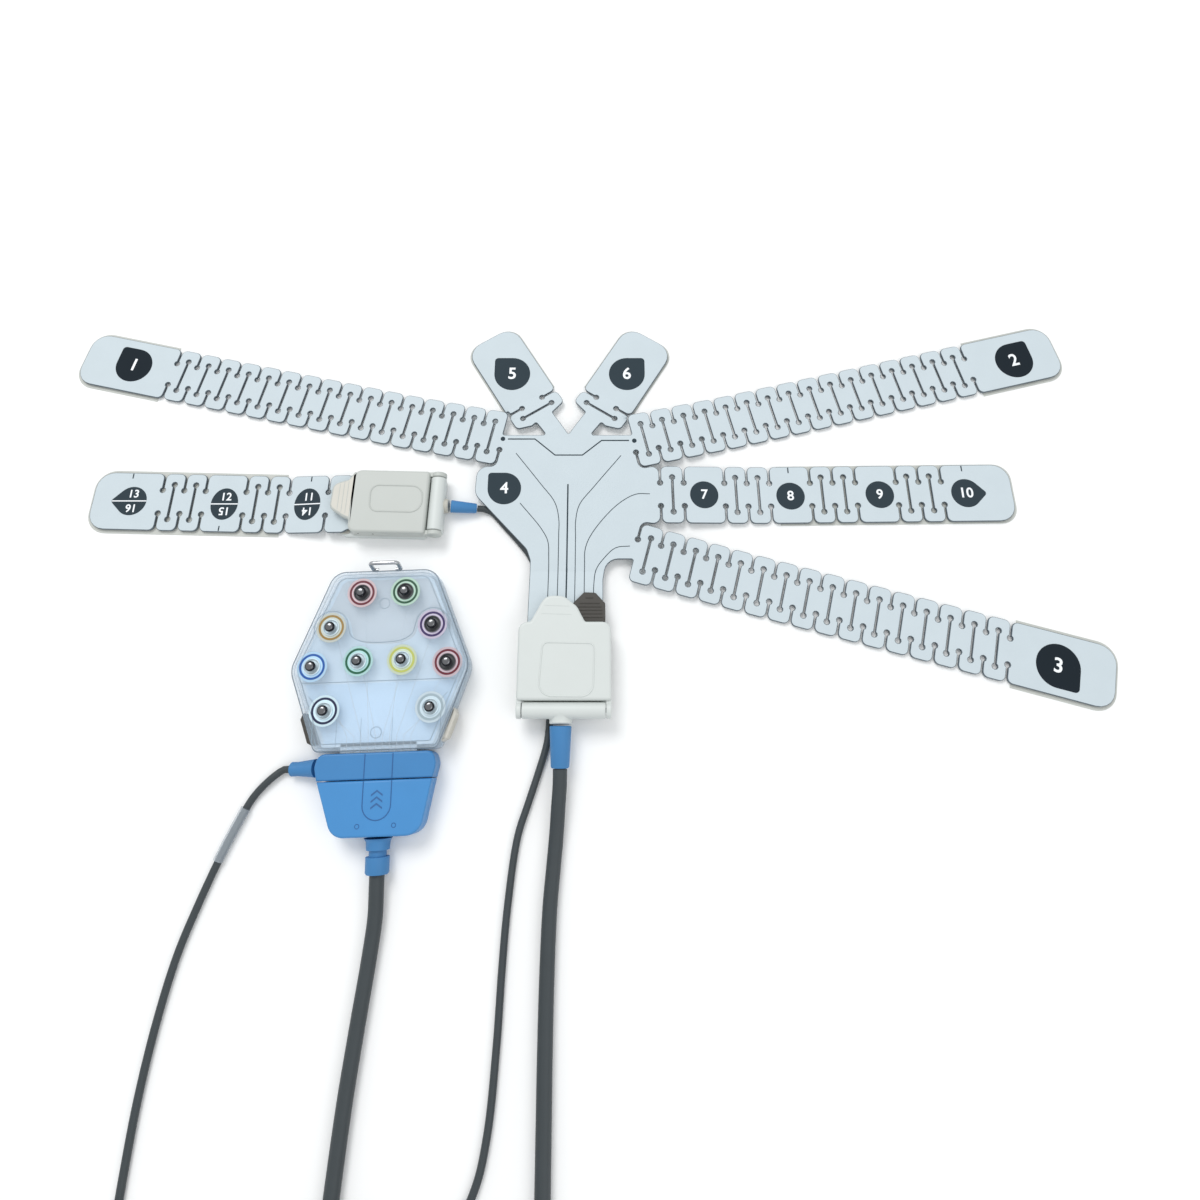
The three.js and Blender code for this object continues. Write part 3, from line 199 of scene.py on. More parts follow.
FOAM = paint("foam", (198, 209, 214), 0.8, grain=0.35, grain_mm=0.45, mottle=0.03)
# The foam's cut faces and slit walls: a darker copy of the foam, painted shade.
FOAM_SIDE_SHADE = paint("foam_side_painted_shade", (104, 114, 121), 0.9, grain=0.5, grain_mm=0.3)
LINER = paint("liner", (196, 198, 192), 0.5, mottle=0.06, mottle_mm=14)
SHELL = paint("clip_shell", (208, 213, 210), 0.42, mottle=0.02, grain=0.05)
SIDE_SHELL = paint("side_cover_shell", (188, 192, 187), 0.45, mottle=0.02, grain=0.05)
CREAM = paint("tab_cream", (203, 200, 190), 0.45, mottle=0.03, grain=0.05)
GREY_FILM = paint("stiffener", (184, 182, 172), 0.5)
# Dark plastic for the pull tab and a latch, also used as painted shade in the clip covers' pin holes.
DARK_AND_HOLE_SHADE = paint("dark_plastic", (64, 61, 56), 0.6, mottle=0.06)
SLATE = paint("print_slate", (48, 60, 67), 0.8, grain=0.06, shine=0.2)
INK = paint("print_dark", (28, 37, 44), 0.8, grain=0.06, shine=0.15)
WHITE_INK = paint("print_white", (240, 243, 245), 0.5, mottle=0.02, grain=0.04)
BLUE = paint("blue_plastic", (64, 136, 196), 0.4, grain=0.16, grain_mm=0.7)
BAND_BLUE = paint("band_blue", (58, 126, 183), 0.42, grain=0.16, grain_mm=0.7)
BOOT_BLUE = paint("blue_boot", (60, 124, 178), 0.55, grain=0.15)
GROOVE_SHADE_BLUE = paint("blue_groove_painted_shade", (48, 98, 152), 0.6)
CABLE = paint("cable", (54, 61, 64), 0.55, mottle=0.08, mottle_mm=5, grain=0.12, grain_mm=0.8)
CHROME = paint("snap_metal", (121, 122, 124), 0.16, metallic=1, mottle=0.04, grain=0.03)
CUP_DARK = paint("cup_dark", (84, 86, 88), 0.3, metallic=0.4, mottle=0.04, grain=0.03)
CUP_PALE = paint("cup_pale", (216, 234, 242), 0.3, metallic=0.3, mottle=0.04, grain=0.03)
# Dark metal for the balls' sides: painted shade and dark reflection.
BALL_SHADE = paint("ball_painted_shade", (50, 52, 56), 0.2, metallic=1, mottle=0.04, grain=0.03)
STEEL = paint("steel", (190, 192, 195), 0.25, metallic=1, mottle=0.06, grain=0.06)
CLEAR = paint("clear_plastic", (214, 232, 247), 0.12, alpha=0.2, mottle=0.02, grain=0.04, coat=0.5)
SLEEVE = paint("clear_sleeve", (196, 206, 214), 0.2, alpha=0.4, mottle=0.03, grain=0.05)
BOARD = paint("board", (220, 235, 246), 0.5, mottle=0.03)
BOARD_TOP = paint("board_top", (205, 211, 216), 0.5, mottle=0.04)
BOARD_END = paint("board_end", (206, 230, 250), 0.5, mottle=0.03)
LINE_SHADE_GREY = paint("moulded_line_and_shade", (140, 157, 170), 0.3, mottle=0.03)
# The lid rim's dark line is painted shade of the clear shell's edge.
RIM_SHADE_GREY = paint("lid_rim_painted_shade", (86, 98, 108), 0.3, mottle=0.03)
CONTACTS = paint("contact_block", (51, 55, 60), 0.5)
FILM = paint("contact_film", (205, 178, 120), 0.4, mottle=0.08, mottle_mm=3)
PAD_GREY = paint("pressure_pad", (110, 108, 104), 0.7, grain=0.3)
GEL = paint("gel", (196, 208, 214), 0.2, grain=0.05)
FLOOR = paint("table", (250, 250, 249), 0.9, mottle=0.004, mottle_mm=80, grain=0.02)


# Forms
FINE_EDGE = 0.3  # an edge this fine never pinches a corner of its outline
STAMP_T = 0.04
STAMP_WEIGHT_SHARE = 0.018  # of a character's size
SHARP_EDGE = math.radians(40)


def area_of(loop):
    return sum(a[0] * b[1] - b[0] * a[1] for a, b in zip(loop, loop[1:] + loop[:1])) / 2


def arc(x, y, radius, start, sweep, steps):
    """The points of an arc, with both ends."""
    angles = [start + sweep * step / steps for step in range(steps + 1)]
    return [Vector((x + radius * math.cos(a), y + radius * math.sin(a))) for a in angles]


def circle(x, y, radius, sides=32):
    return arc(x, y, radius, 0, FULL_TURN, sides)[:-1]


def rounded(points, steps=5):
    """Corners of an outline turned into arcs: each point is (x, y) or (x, y, radius)."""
    outline = []
    for index, point in enumerate(points):
        corner = Vector(point[:2])
        radius = point[2] if len(point) > 2 else 0
        if not radius:
            outline.append(corner)
            continue
        before = (Vector(points[index - 1][:2]) - corner).normalized()
        after = (Vector(points[(index + 1) % len(points)][:2]) - corner).normalized()
        half = math.acos(max(-1, min(1, before.dot(after)))) / 2
        reach = radius / math.tan(half)
        centre = corner + (before + after).normalized() * (radius / math.sin(half))
        start, end = corner + before * reach - centre, corner + after * reach - centre
        first = math.atan2(start.y, start.x)
        sweep = (math.atan2(end.y, end.x) - first + math.pi) % FULL_TURN - math.pi
        outline += arc(*centre, radius, first, sweep, steps)
    return outline


def rectangle(left, right, low, high, radius=0.0):
    return rounded([(x, y, radius) for x, y in ((left, low), (right, low), (right, high), (left, high))])


def inset(loop, amount):
    """The loop moved to its own left."""
    moved = []
    for index, here in enumerate(loop):
        before = (here - loop[index - 1]).normalized()
        after = (loop[(index + 1) % len(loop)] - here).normalized()
        side = Vector((-before.y, before.x))
        left = side + Vector((-after.y, after.x))
        left = left.normalized() if left.length > 1e-6 else side
        moved.append(here + left * (amount / max(left.dot(side), 0.5)))
    return moved


def mirrored(points, flip=(-1, 1)):
    """The points in a mirror, in reverse order."""
    return [(flip[0] * x, flip[1] * y, *rest) for x, y, *rest in points[::-1]]


class Form:
    """Shells gathered into one mesh."""

    def __init__(self, place=Matrix()):
        self.place = place
        self.points = []
        self.faces = []
        self.soft = []
        self.finish = []
        self.slot = 0

    def add(self, points, faces, soft, place=Matrix()):
        start = len(self.points)
        self.points += [place @ Vector(point) for point in points]
        self.faces += [tuple(start + corner for corner in face) for face in faces]
        self.soft += soft
        self.finish += [self.slot] * len(faces)

    def slab(self, loops, low, high, bevel=0.0, under=0.0, steps=3, walls=None):
        """An outline with holes, raised from one height to another, with rounded edges."""
        loops = [[Vector(point[:2]) for point in loop] for loop in loops]
        loops = [loop if (area_of(loop) > 0) == (index == 0) else loop[::-1]
                 for index, loop in enumerate(loops)]
        profile = arc(under, low + under, under, 3 * QUARTER, -QUARTER, steps) if under else [(0, low)]
        profile += arc(bevel, high - bevel, bevel, math.pi, -QUARTER, steps) if bevel else [(0, high)]
        points, edges, count = [], [], 0
        for loop in loops:
            edges += [(count + i, count + (i + 1) % len(loop)) for i in range(len(loop))]
            count += len(loop)
        for amount, z in profile:
            for loop in loops:
                points += [(x, y, z) for x, y in (inset(loop, amount) if amount else loop)]
        top = count * (len(profile) - 1)
        sides = [(low + a, low + b, low + count + b, low + count + a)
                 for low in range(0, top, count) for a, b in edges]
        ends = []
        for low, amount in ((0, profile[0][0]), (top, profile[-1][0])):
            rims = [inset(loop, amount) if 0 < amount < FINE_EDGE else loop for loop in loops]
            flat = [point for rim in rims for point in rim]
            for a, b, c in geometry.tessellate_polygon([[p.to_3d() for p in rim] for rim in rims]):
                if ((flat[b] - flat[a]).cross(flat[c] - flat[a]) > 0) == (low == 0):
                    b, c = c, b
                ends.append((low + a, low + b, low + c))
        first = len(self.finish)
        self.add(points, sides + ends, [True] * len(sides) + [False] * len(ends))
        if walls is not None:
            self.finish[first:first + len(sides)] = [walls] * len(sides)
        return self

    def tube(self, points, sides, closed, place):
        """Rings of points, joined up, with a flat face at each end unless it is closed."""
        rings = len(points) // sides
        faces = []
        for ring in range(rings if closed else rings - 1):
            low, high = ring * sides, (ring + 1) % rings * sides
            for i in range(sides):
                j = (i + 1) % sides
                faces.append((low + i, low + j, high + j, high + i))
        last = (rings - 1) * sides
        ends = [] if closed else [tuple(range(sides))[::-1], tuple(range(last, last + sides))]
        self.add(points, faces + ends, [True] * len(faces) + [False] * len(ends), place)
        return self

    def lathe(self, profile, place=Matrix(), sides=32, bands=()):
        """A profile of (radius, height) turned about Z. Bands are (level, finish)."""
        start = len(self.finish)
        self.tube([(x, y, z) for radius, z in profile for x, y in circle(0, 0, radius, sides)],
                  sides, False, place)
        for level, slot in bands:
            first = start + level * sides
            self.finish[first:first + sides] = [slot] * sides
        return self

    def wire(self, path, z, radius, sides=6, closed=False):
        """A round bar along a flat path at one height."""
        path = [Vector((x, y, z)) for x, y in path]
        points = []
        for index, here in enumerate(path):
            before = path[index - 1] if index or closed else here
            after = path[(index + 1) % len(path)] if index < len(path) - 1 or closed else here
            right = (after - before).normalized().cross(UP)
            points += [here + right * x - UP * y for x, y in circle(0, 0, radius, sides)]
        return self.tube(points, sides, closed, Matrix())

    def stamp(self, text, size, place):
        """Raised characters, centred on a place."""
        curve = bpy.data.curves.new("stamp", "FONT")
        curve.body, curve.size = text, size
        curve.align_x = curve.align_y = "CENTER"
        curve.extrude, curve.offset = STAMP_T / 2, size * STAMP_WEIGHT_SHARE
        curve.resolution_u = 4
        holder = bpy.data.objects.new("stamp", curve)
        mesh = bpy.data.meshes.new_from_object(holder)
        faces = [tuple(face.vertices) for face in mesh.polygons]
        points = [vertex.co + UP * STAMP_T / 2 for vertex in mesh.vertices]
        self.add(points, faces, [False] * len(faces), place)
        bpy.data.objects.remove(holder)
        bpy.data.meshes.remove(mesh)
        bpy.data.curves.remove(curve)

    def make(self, name, materials, body, *nodes, slot=None, lift=None, cuts=()):
        """The piece itself, in the frame, riding on its body."""
        mesh = bpy.data.meshes.new(name)
        mesh.from_pydata([tuple(self.place @ point) for point in self.points], [], self.faces)
        for face, soft, finish in zip(mesh.polygons, self.soft, self.finish):
            face.use_smooth, face.material_index = soft, finish
        if cuts:
            shape = bmesh.new()
            shape.from_mesh(mesh)
            for point, along in cuts:
                bmesh.ops.bisect_plane(shape, geom=shape.verts[:] + shape.edges[:] + shape.faces[:],
                                       plane_co=point, plane_no=along, dist=1e-5)
            shape.to_mesh(mesh)
            shape.free()
        for vertex in mesh.vertices:
            rise = lift(vertex.co.x, vertex.co.y) if lift else 0
            vertex.co = TO_FRAME @ (vertex.co + UP * rise)
        flat = [not face.use_smooth for face in mesh.polygons]
        mesh.set_sharp_from_angle(angle=SHARP_EDGE)
        for face, is_flat in zip(mesh.polygons, flat):
            face.use_smooth = not is_flat
        for material in materials:
            mesh.materials.append(material)
        piece = added(name, mesh)
        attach(piece, body)
        if nodes:
            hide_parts(*nodes)
        return piece


ARRAY = "array_and_cables"

# Cords: a place without a height lies on the table
THICK_ROUTE = [
    (-1.8, -70, 4.9), (-2.4, -80, 3.3), (-3.3, -91), (-4.4, -105), (-5, -125),
    (-5.2, -150), (-5.1, -175), (-5, -200), (-5, -225), (-5, -242.1),
]
THICK_BACK = [
    (-77, -242.1, 8.9), (-77, -235, 8.2), (-77, -226, 5.8), (-77, -217, 3.5), (-76.7, -207),
    (-75.9, -190), (-74.4, -165), (-72.3, -142), (-70.3, -122), (-69.2, -108, 3.4),
]
THIN_ROUTE = [
    (-33.6, 50.3), (-30.4, 47.2), (-27.3, 43.7), (-21, 36.7), (-15.5, 29.5), (-12, 20), (-10, 8),
    (-8.6, -6), (-7, -20), (-6, -34), (-6.8, -46.2), (-9.7, -56.6), (-13.7, -69), (-17.4, -80.8),
    (-20.4, -105.2), (-21.6, -125), (-22.6, -150), (-24.6, -175), (-28, -190), (-34.5, -201),
    (-46, -206.6), (-57, -207.5, 2.6), (-67, -207.5, 6.4), (-77, -207.5, 7.5), (-87, -207.5, 6.4),
    (-95.5, -208, 2.6), (-103.5, -210.4), (-109, -217), (-111, -225), (-111, -230.9),
]
THIN_BACK = [
    (-148, -230.9, 4.7), (-148, -225, 3.9), (-148, -217, 2.2), (-148, -207), (-147.9, -188),
    (-147.2, -165), (-145, -142), (-141.4, -121), (-136.7, -105), (-131.3, -89.4), (-126, -76.5),
    (-121.4, -66.9), (-115.6, -60.4, 1.9),
]
# Where each cord leaves its strain relief, and the place straight out of it, in the frame
MAIN_EXIT = [(-1.98, -81.06, 6.29), (-1.98, -86.64, 5.89)]
PLUG_EXIT = [(-70.27, -118.54, 4.5), (-70.06, -124.13, 4.2)]
SIDE_EXIT = [(-40.4, 26.87, 2.48), (-37.65, 26.8, 1.94)]
THIN_PLUG_EXIT = [(-108.34, -81.19, 2.48), (-111.07, -81.29, 1.85)]
# Each coil's middle, outer radius and turns
THICK_COIL = (-41, -248, 36, 3.5)
THIN_COIL = (-129.5, -234, 18.5, 4.5)
COIL_STEPS = 24
COIL_CLEARANCE = 0.5
CORD_STEP = 2.5


def laid(places, diameter):
    return [(x, y, *(height or [diameter / 2])) for x, y, *height in places]


def coil(x, y, outer_r, turns, diameter):
    """A flat coil in two layers: it winds in clockwise from its right, climbs, and winds out."""
    pitch = diameter + COIL_CLEARANCE
    steps = round(turns * COIL_STEPS)
    half = steps / 2
    points = []
    for step in range(steps + 1):
        inward = half - abs(step - half)
        radius = outer_r - pitch * inward / COIL_STEPS
        share = max(0, min(1, (step - half + COIL_STEPS / 4) / (COIL_STEPS / 2)))
        height = diameter / 2 + pitch * share * share * (3 - 2 * share)
        angle = -FULL_TURN * step / COIL_STEPS
        points.append((x + radius * math.cos(angle), y + radius * math.sin(angle), height))
    return points


def through(places, spacing):
    """A smooth line through places, with a point every so many millimetres."""
    places = [Vector(place) for place in places]
    ends = [2 * places[0] - places[1]] + places + [2 * places[-1] - places[-2]]
    line = []
    for p0, p1, p2, p3 in zip(ends, ends[1:], ends[2:], ends[3:]):
        t1 = (p1 - p0).length ** 0.5
        t2 = t1 + (p2 - p1).length ** 0.5
        t3 = t2 + (p3 - p2).length ** 0.5
        count = max(1, round((p2 - p1).length / spacing))
        for step in range(count):
            t = t1 + (t2 - t1) * step / count
            a1, a2 = p0.lerp(p1, t / t1), p1.lerp(p2, (t - t1) / (t2 - t1))
            a3 = p2.lerp(p3, (t - t2) / (t3 - t2))
            b1, b2 = a1.lerp(a2, t / t2), a2.lerp(a3, (t - t1) / (t3 - t1))
            line.append(b1.lerp(b2, (t - t1) / (t2 - t1)))
    return line + [places[-1]]


def from_frame(places):
    return [(x + ORIGIN[0], y + ORIGIN[1], z) for x, y, z in places]


def cord(name, start, route, winding, back, end, diameter):
    """A free cord from exit to exit, with the length of its own line. It replaces its three nodes."""
    places = from_frame(start) + laid(route, diameter) + coil(*winding, diameter)
    places += laid(back, diameter) + from_frame(end)[::-1]
    line = [TO_FRAME @ point for point in through(places, CORD_STEP)]
    curve = bpy.data.curves.new(name, "CURVE")
    curve.dimensions = "3D"
    spline = curve.splines.new("POLY")
    spline.points.add(len(line) - 1)
    for point, place in zip(spline.points, line):
        point.co = place.to_4d()
    curve.bevel_depth = diameter / 2 * MM
    curve.bevel_resolution = 5
    curve.use_fill_caps = True
    curve.materials.append(CABLE)
    piece = added(name, curve)
    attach(piece, ARRAY)
    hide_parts(name + "_clip_end", name + "_coil", name + "_plug_end")
    length = sum((b - a).length for a, b in zip(line, line[1:]))
    return piece, tuple(line[0]), length, diameter * MM


thick = cord("trunk_cable", MAIN_EXIT, THICK_ROUTE, THICK_COIL, THICK_BACK, PLUG_EXIT, THICK_D)
thin = cord("side_cable", SIDE_EXIT, THIN_ROUTE, THIN_COIL, THIN_BACK, THIN_PLUG_EXIT, THIN_D)

# Foam
FOAM_EDGE_R = 0.25
FOAM_UNDER_R = 0.2
ROOT_R = 0.8
ARM_REACH = 0.5  # beyond an arm's sides, still on its slope
TAB_REACH = 0.05
SHOULDER_Y = 28.3
RIGHT_FOOT = [(TAIL_HALF_W, -TAIL_L), (TAIL_HALF_W, 19), (17, SHOULDER_Y, 6)]
LEFT_SIDE = [(-40.6, 70.9, 5), (-41, 57.6, 6), (-17.3, 32.6, 6), (-TAIL_HALF_W, 27.6, 4),
             (-TAIL_HALF_W, -TAIL_L)]
TAB_ROOT = [(9.9, TRUNK_H, ROOT_R), (14.9, 92.9, ROOT_R), (16.7, 91, 1.4), (23.6, 89.4, LOBE_R)]
TAB_CROTCH = (7.7, 97.9, ROOT_R)
TABS_MEET = (0, 86.4, 0.5)
SIDE_ROOT = [(-TAIL_L, -SIDE_TAIL_W / 2), (1, -SIDE_TAIL_W / 2, 1), (3.4, -STRIP_W / 2, 2)]
SIDE_RAMP = (LOBE_R, SIDE_FIRST + STRIP_PAD_L)
half_tab = TAB_W / 2


def bulb(x, y):
    """The round end of a slit, from its right side to its left."""
    spread = math.acos(SLIT_W / 2 / BULB_R)
    return arc(x, y, BULB_R, -spread, math.pi + 2 * spread, BULB_STEPS)


def notch(x, half, depth):
    """A slit in from the lower edge, walked towards +X."""
    side = SLIT_W / 2
    end = bulb(x, depth - BULB_R - half)[::-1]
    return [(x - side, -half, LOBE_R)] + end + [(x + side, -half, LOBE_R)]


def turned(points):
    return [(-x, -y, *rest) for x, y, *rest in points]


def slit(x, length):
    """A slit across a strip, with a round end at each side."""
    upper = bulb(0, length / 2 - BULB_R)
    return [(x + px, py) for px, py in upper + turned(upper)]


def strip_path(notches, half, depth, tip, low_root, high_root):
    """Round a strip along +X, from its lower root to its upper."""
    path = list(low_root)
    for x in notches:
        path += notch(x, half, depth)
    path += [(tip, -half, PAD_R), (tip, half, PAD_R)]
    for x in reversed(notches):
        path += turned(notch(-x, half, depth))
    return path + high_root


def slit_root(half, depth):
    """A strip's root on the trunk, beside a slit."""
    return [(-SLIT_W, -half - SLIT_W, LOBE_R + SLIT_W)] + notch(-SLIT_W / 2, half, depth)[1:]


def carried(place, points):
    return [(*at(place, x, y)[:2], *rest) for x, y, *rest in points]


def spans(kinds):
    """Where the notches and slits of a strip are, from its spans of (length, has a slit)."""
    x, notches, slits = 0, [], []
    for length, has_slit in kinds:
        if has_slit:
            slits.append(x + length / 2)
        x += length
        notches.append(x)
    return notches, slits


def on_line(name, height):
    """Where an arm's root line crosses a height of the trunk."""
    root, across = at(ROOTS[name], 0, 0), ROOTS[name].to_3x3() @ Vector((0, 1, 0))
    return (root.x + across.x * (height - root.y) / across.y, height, ROOT_R)


def ramp(value, start, end, low, high):
    return low + (high - low) * max(0, min(1, (value - start) / (end - start)))


def foam_low(x, y):
    """Height of the sheet's underside."""
    for place in ROOTS.values():
        local = at(place.inverted(), x, y)
        if local.x > 0 and abs(local.y) < STRIP_W / 2 + ARM_REACH:
            return ramp(local.x, LOBE_R, RAMP_L, FOAM_HIGH, FOAM_LOW)
    local = at(TABS["v1" if x < 0 else "v2"].inverted(), x, y)
    if y > TRUNK_H + TAB_REACH and abs(local.y) < half_tab + ARM_REACH:
        return ramp(local.x, *TAB_RAMP, FOAM_HIGH, FOAM_LOW)
    return ramp(y, LOBE_R, TAIL_RAMP_L + LOBE_R, FOAM_HIGH + CLIP_FOAM_Z, FOAM_HIGH)


def foam_top(x, y):
    return foam_low(x, y) + FOAM_T


def side_low(x, y):
    return ramp(at(SIDE_STRIP.inverted(), x, y).x, *SIDE_RAMP, CLIP_FOAM_Z, FOAM_LOW)


def side_top(x, y):
    return side_low(x, y) + FOAM_T


def crossing(place, *stations):
    """Cutting planes across a piece, where its slope changes."""
    along = place.to_3x3() @ Vector((1, 0, 0))
    return [(at(place, x, 0), along) for x in stations]


def sheet_of_foam(name, place, loops, lift, cuts, *nodes):
    """Foam with rounded edges, its cut face painted darker as shade."""
    form = Form(place).slab(loops, 0, FOAM_T, bevel=FOAM_EDGE_R, under=FOAM_UNDER_R, steps=2, walls=1)
    return form.make(name, [FOAM, FOAM_SIDE_SHADE], ARRAY, *nodes, lift=lift, cuts=cuts)


def add_strip(place, path, slits, slit_l):
    """A strip's own outline and slits, added to the sheet's."""
    outline.extend(carried(place, path))
    holes.extend(carried(place, slit(x, slit_l)) for x in slits)


def add_limb(name, root_low, root_high):
    """A limb's arm. Its root has a slit beside it, or is free."""
    half, pitch = LIMB_W / 2, LIMB_PITCHES[name]
    notches = [pitch * (index + 1) for index in range(LIMB_SLITS)]
    low = slit_root(half, LIMB_NOTCH) if root_low else [(0, -half, LOBE_R)]
    high = slit_root(half, LIMB_NOTCH) if root_high else [(0, -half, LOBE_R)]
    path = strip_path(notches, half, LIMB_NOTCH, notches[-1] + LIMB_PAD_L, low, mirrored(high, (1, -1)))
    add_strip(ROOTS[name], path, [x - pitch / 2 for x in notches], LIMB_SLIT_L)


outline, holes = list(RIGHT_FOOT), []
outline.append(on_line("ll", SHOULDER_Y))
add_limb("ll", False, True)
chest_spans = [(CHEST_PITCH, True)] + ([(STRIP_PAD_L, False)] + [(CHEST_PITCH, True)] * 2) * 3
chest_notches, chest_slits = spans(chest_spans)
chest_tip = chest_notches[-1] + CHEST_END_L
chest_root = slit_root(STRIP_W / 2, STRIP_NOTCH)
chest_path = strip_path(chest_notches, STRIP_W / 2, STRIP_NOTCH, chest_tip, chest_root,
                        mirrored(chest_root, (1, -1)))
add_strip(CHEST, chest_path, chest_slits, STRIP_SLIT_L)
add_limb("la", True, False)
outline.append(on_line("la", TRUNK_H))
tab_path = strip_path([TAB_NOTCH_X], half_tab, LIMB_NOTCH, TAB_TIP_L, [],
                      [(TAB_HEEL_X, half_tab, LOBE_R)])
tab = TAB_ROOT + carried(TABS["v2"], tab_path) + [TAB_CROTCH]
outline += tab + [TABS_MEET] + mirrored(tab)
holes += [carried(place, slit(TAB_SLIT_X, LIMB_SLIT_L)) for place in TABS.values()]
outline.append(on_line("ra", TRUNK_H))
add_limb("ra", False, True)
outline += LEFT_SIDE
kinks = crossing(ALONG_Y, LOBE_R, TAIL_RAMP_L + LOBE_R, TRUNK_H)
for place in ROOTS.values():
    kinks += crossing(place, LOBE_R, RAMP_L)
for place in TABS.values():
    kinks += crossing(place, *TAB_RAMP)
sheet_loops = [rounded(outline)] + holes
foam_sheet = sheet_of_foam("foam_sheet", Matrix(), sheet_loops, foam_low, kinks, "sheet_trunk",
                           "limb_arm_ra", "limb_arm_la", "limb_arm_ll", "chest_strip",
                           "chest_tab_v1", "chest_tab_v2")

side_kinds = [(SIDE_FIRST, False)] + ([(STRIP_PAD_L, False)] + [(SIDE_PITCH, True)] * 2) * 2
side_notches, side_slits = spans(side_kinds)
side_tip = side_notches[-1] + SIDE_END_L
side_path = strip_path(side_notches, STRIP_W / 2, STRIP_NOTCH, side_tip, SIDE_ROOT,
                       mirrored(SIDE_ROOT, (1, -1)))
side_loops = [rounded(side_path)] + [slit(x, STRIP_SLIT_L) for x in side_slits]
side_foam = sheet_of_foam("side_foam", SIDE_STRIP, side_loops, side_low,
                          crossing(SIDE_STRIP, *SIDE_RAMP), "side_strip")


# Liners
def liner(name, place, start, end, half, radius=PAD_R):
    path = [(start, -half), (end, -half, radius), (end, half, radius), (start, half)]
    form = Form(place).slab([rounded(path, 8)], 0, LINER_T, bevel=LINER_T / 3, steps=2)
    form.make(name + "_film", [LINER], ARRAY, name)


for name, pitch in LIMB_PITCHES.items():
    last_slit = LIMB_SLITS * pitch
    liner("liner_" + name, ROOTS[name], last_slit + LOBE_R, last_slit + LIMB_PAD_L + LINER_MARGIN,
          LIMB_W / 2 + LINER_MARGIN, PAD_R + LINER_MARGIN)
liner("liner_chest", CHEST, RAMP_L + PAD_R, chest_tip + LINER_MARGIN, (STRIP_W + LINER_MARGIN) / 2)
for name, place in TABS.items():
    liner("liner_" + name, place, TAB_NOTCH_X + LOBE_R, TAB_TIP_L + LINER_MARGIN / 2,
          half_tab + LINER_MARGIN / 2)
liner("liner_side", SIDE_STRIP, SIDE_RAMP[1] + LOBE_R, side_tip + LINER_MARGIN,
      STRIP_W / 2 + LINER_MARGIN, PAD_R + LINER_MARGIN)

# Prints on the foam
PRINT_T = 0.06
LINE_STEP = 1.5
TOP_LEFT, TOP_RIGHT, AHEAD = math.radians(135), math.radians(45), 0.0
# Each mark: its place, radius, corner and number
LIMB_MARKS = {"ra": (179.5, -0.5, 8.5, -TOP_RIGHT, "1"), "la": (185.4, -0.7, 8.9, TOP_RIGHT, "2"),
              "ll": (180.2, -0.7, 9.1, -TOP_RIGHT, "3")}
TRUNK_MARKS = [(-26.9, 118.2, 8.4, TOP_LEFT, "5"), (26.9, 118.2, 8.4, TOP_RIGHT, "6"),
               (-28, 60.3, 7.4, TOP_LEFT, "4"), (60.4, 57.7, 6.3, None, "7"),
               (98.9, 57.6, 6.3, None, "8"), (138.6, 58.3, 6.3, None, "9"), (177.1, 59, 6.6, AHEAD, "10")]
SIDE_MARKS = [(-193.2, 55.3, 6.6, math.pi, "13", "16"), (-151.9, 53.9, 6, None, "12", "15"),
              (-114.7, 53.4, 6, None, "11", "14")]
TIP_R_SHARE = 0.2  # of a mark's radius
OVAL_SHARE = 1.22  # a side mark's height, of its width
LIMB_NUMBER = 8.5
TRUNK_NUMBER_SHARE = 0.98  # of a mark's radius
SIDE_NUMBER = 5
SIDE_NUMBER_AT = (0.4, 3.2)
DIVIDER_HALF_W = 0.25
DIVIDER_REACH_SHARE = 1.3  # of the radius, towards a mark's corner
FLIPPED = {"ra": 180, "la": 0, "ll": 0}  # turned back, so that each arm's number is upright

# Printed lines, with their widths
YOKE_W, CENTRE_W, LEAD_W, TICK_W = 0.55, 0.6, 0.3, 0.5
YOKE = [(-27.3, 84), (-15.1, 84), (-5.9, 76.2), (6.4, 76.2), (15, 83.3), (27.4, 83.3)]
YOKE_DOTS = [(-29.6, 84.1), (29.8, 83.2)]
YOKE_DOT_R = 1.05
CENTRE_LINE = [(0.1, 62.3 - 3.1 * step) for step in range(20)]
LEADS = [
    [(-23.4, 77.1), (-12, 62.5), (-5.6, 53.9), (-3.7, 46.5), (-3.6, 38), (-3.6, 20), (-3.6, 2)],
    [(-20.8, 53.5), (-11, 41.5), (-8.2, 36), (-7.7, 29), (-7.6, 16), (-7.6, 2)],
    [(23.7, 76), (11.5, 61), (5.3, 52.8), (3.7, 45.5), (3.7, 38), (3.7, 20), (3.7, 2)],
    [(36.3, 57.8), (30, 57.6), (21.5, 52.4), (10.9, 39.8), (8, 33), (7.7, 25), (7.7, 2)],
    [(27.2, 34), (21, 33.2), (15.5, 28), (12.6, 23.5), (11.7, 17), (11.6, 9)],
]
CHEST_TICKS = (57.4, 135.4)
CHEST_TICK_Y = (STRIP_W / 2 - 0.4, STRIP_W / 2 - 3)
SIDE_TICKS = [(-195, -1), (-152.3, 1), (-114.4, -1)]  # each one's x and its side of the strip
SIDE_TICK_Y = 54
SIDE_TICK_SHARES = (0.97, 0.8)  # of the strip's half width


def teardrop(x, y, radius, corner=None, tall=1.0):
    """A disc, drawn out to one rounded corner, or else an oval."""
    if corner is None:
        return [Vector((x + p.x, y + p.y * tall)) for p in circle(0, 0, radius, 40)]
    reach = radius * math.sqrt(2)
    tip = (x + reach * math.cos(corner), y + reach * math.sin(corner), radius * TIP_R_SHARE)
    return rounded(arc(x, y, radius, corner + math.pi / 4, 3 * QUARTER, 32) + [tip])


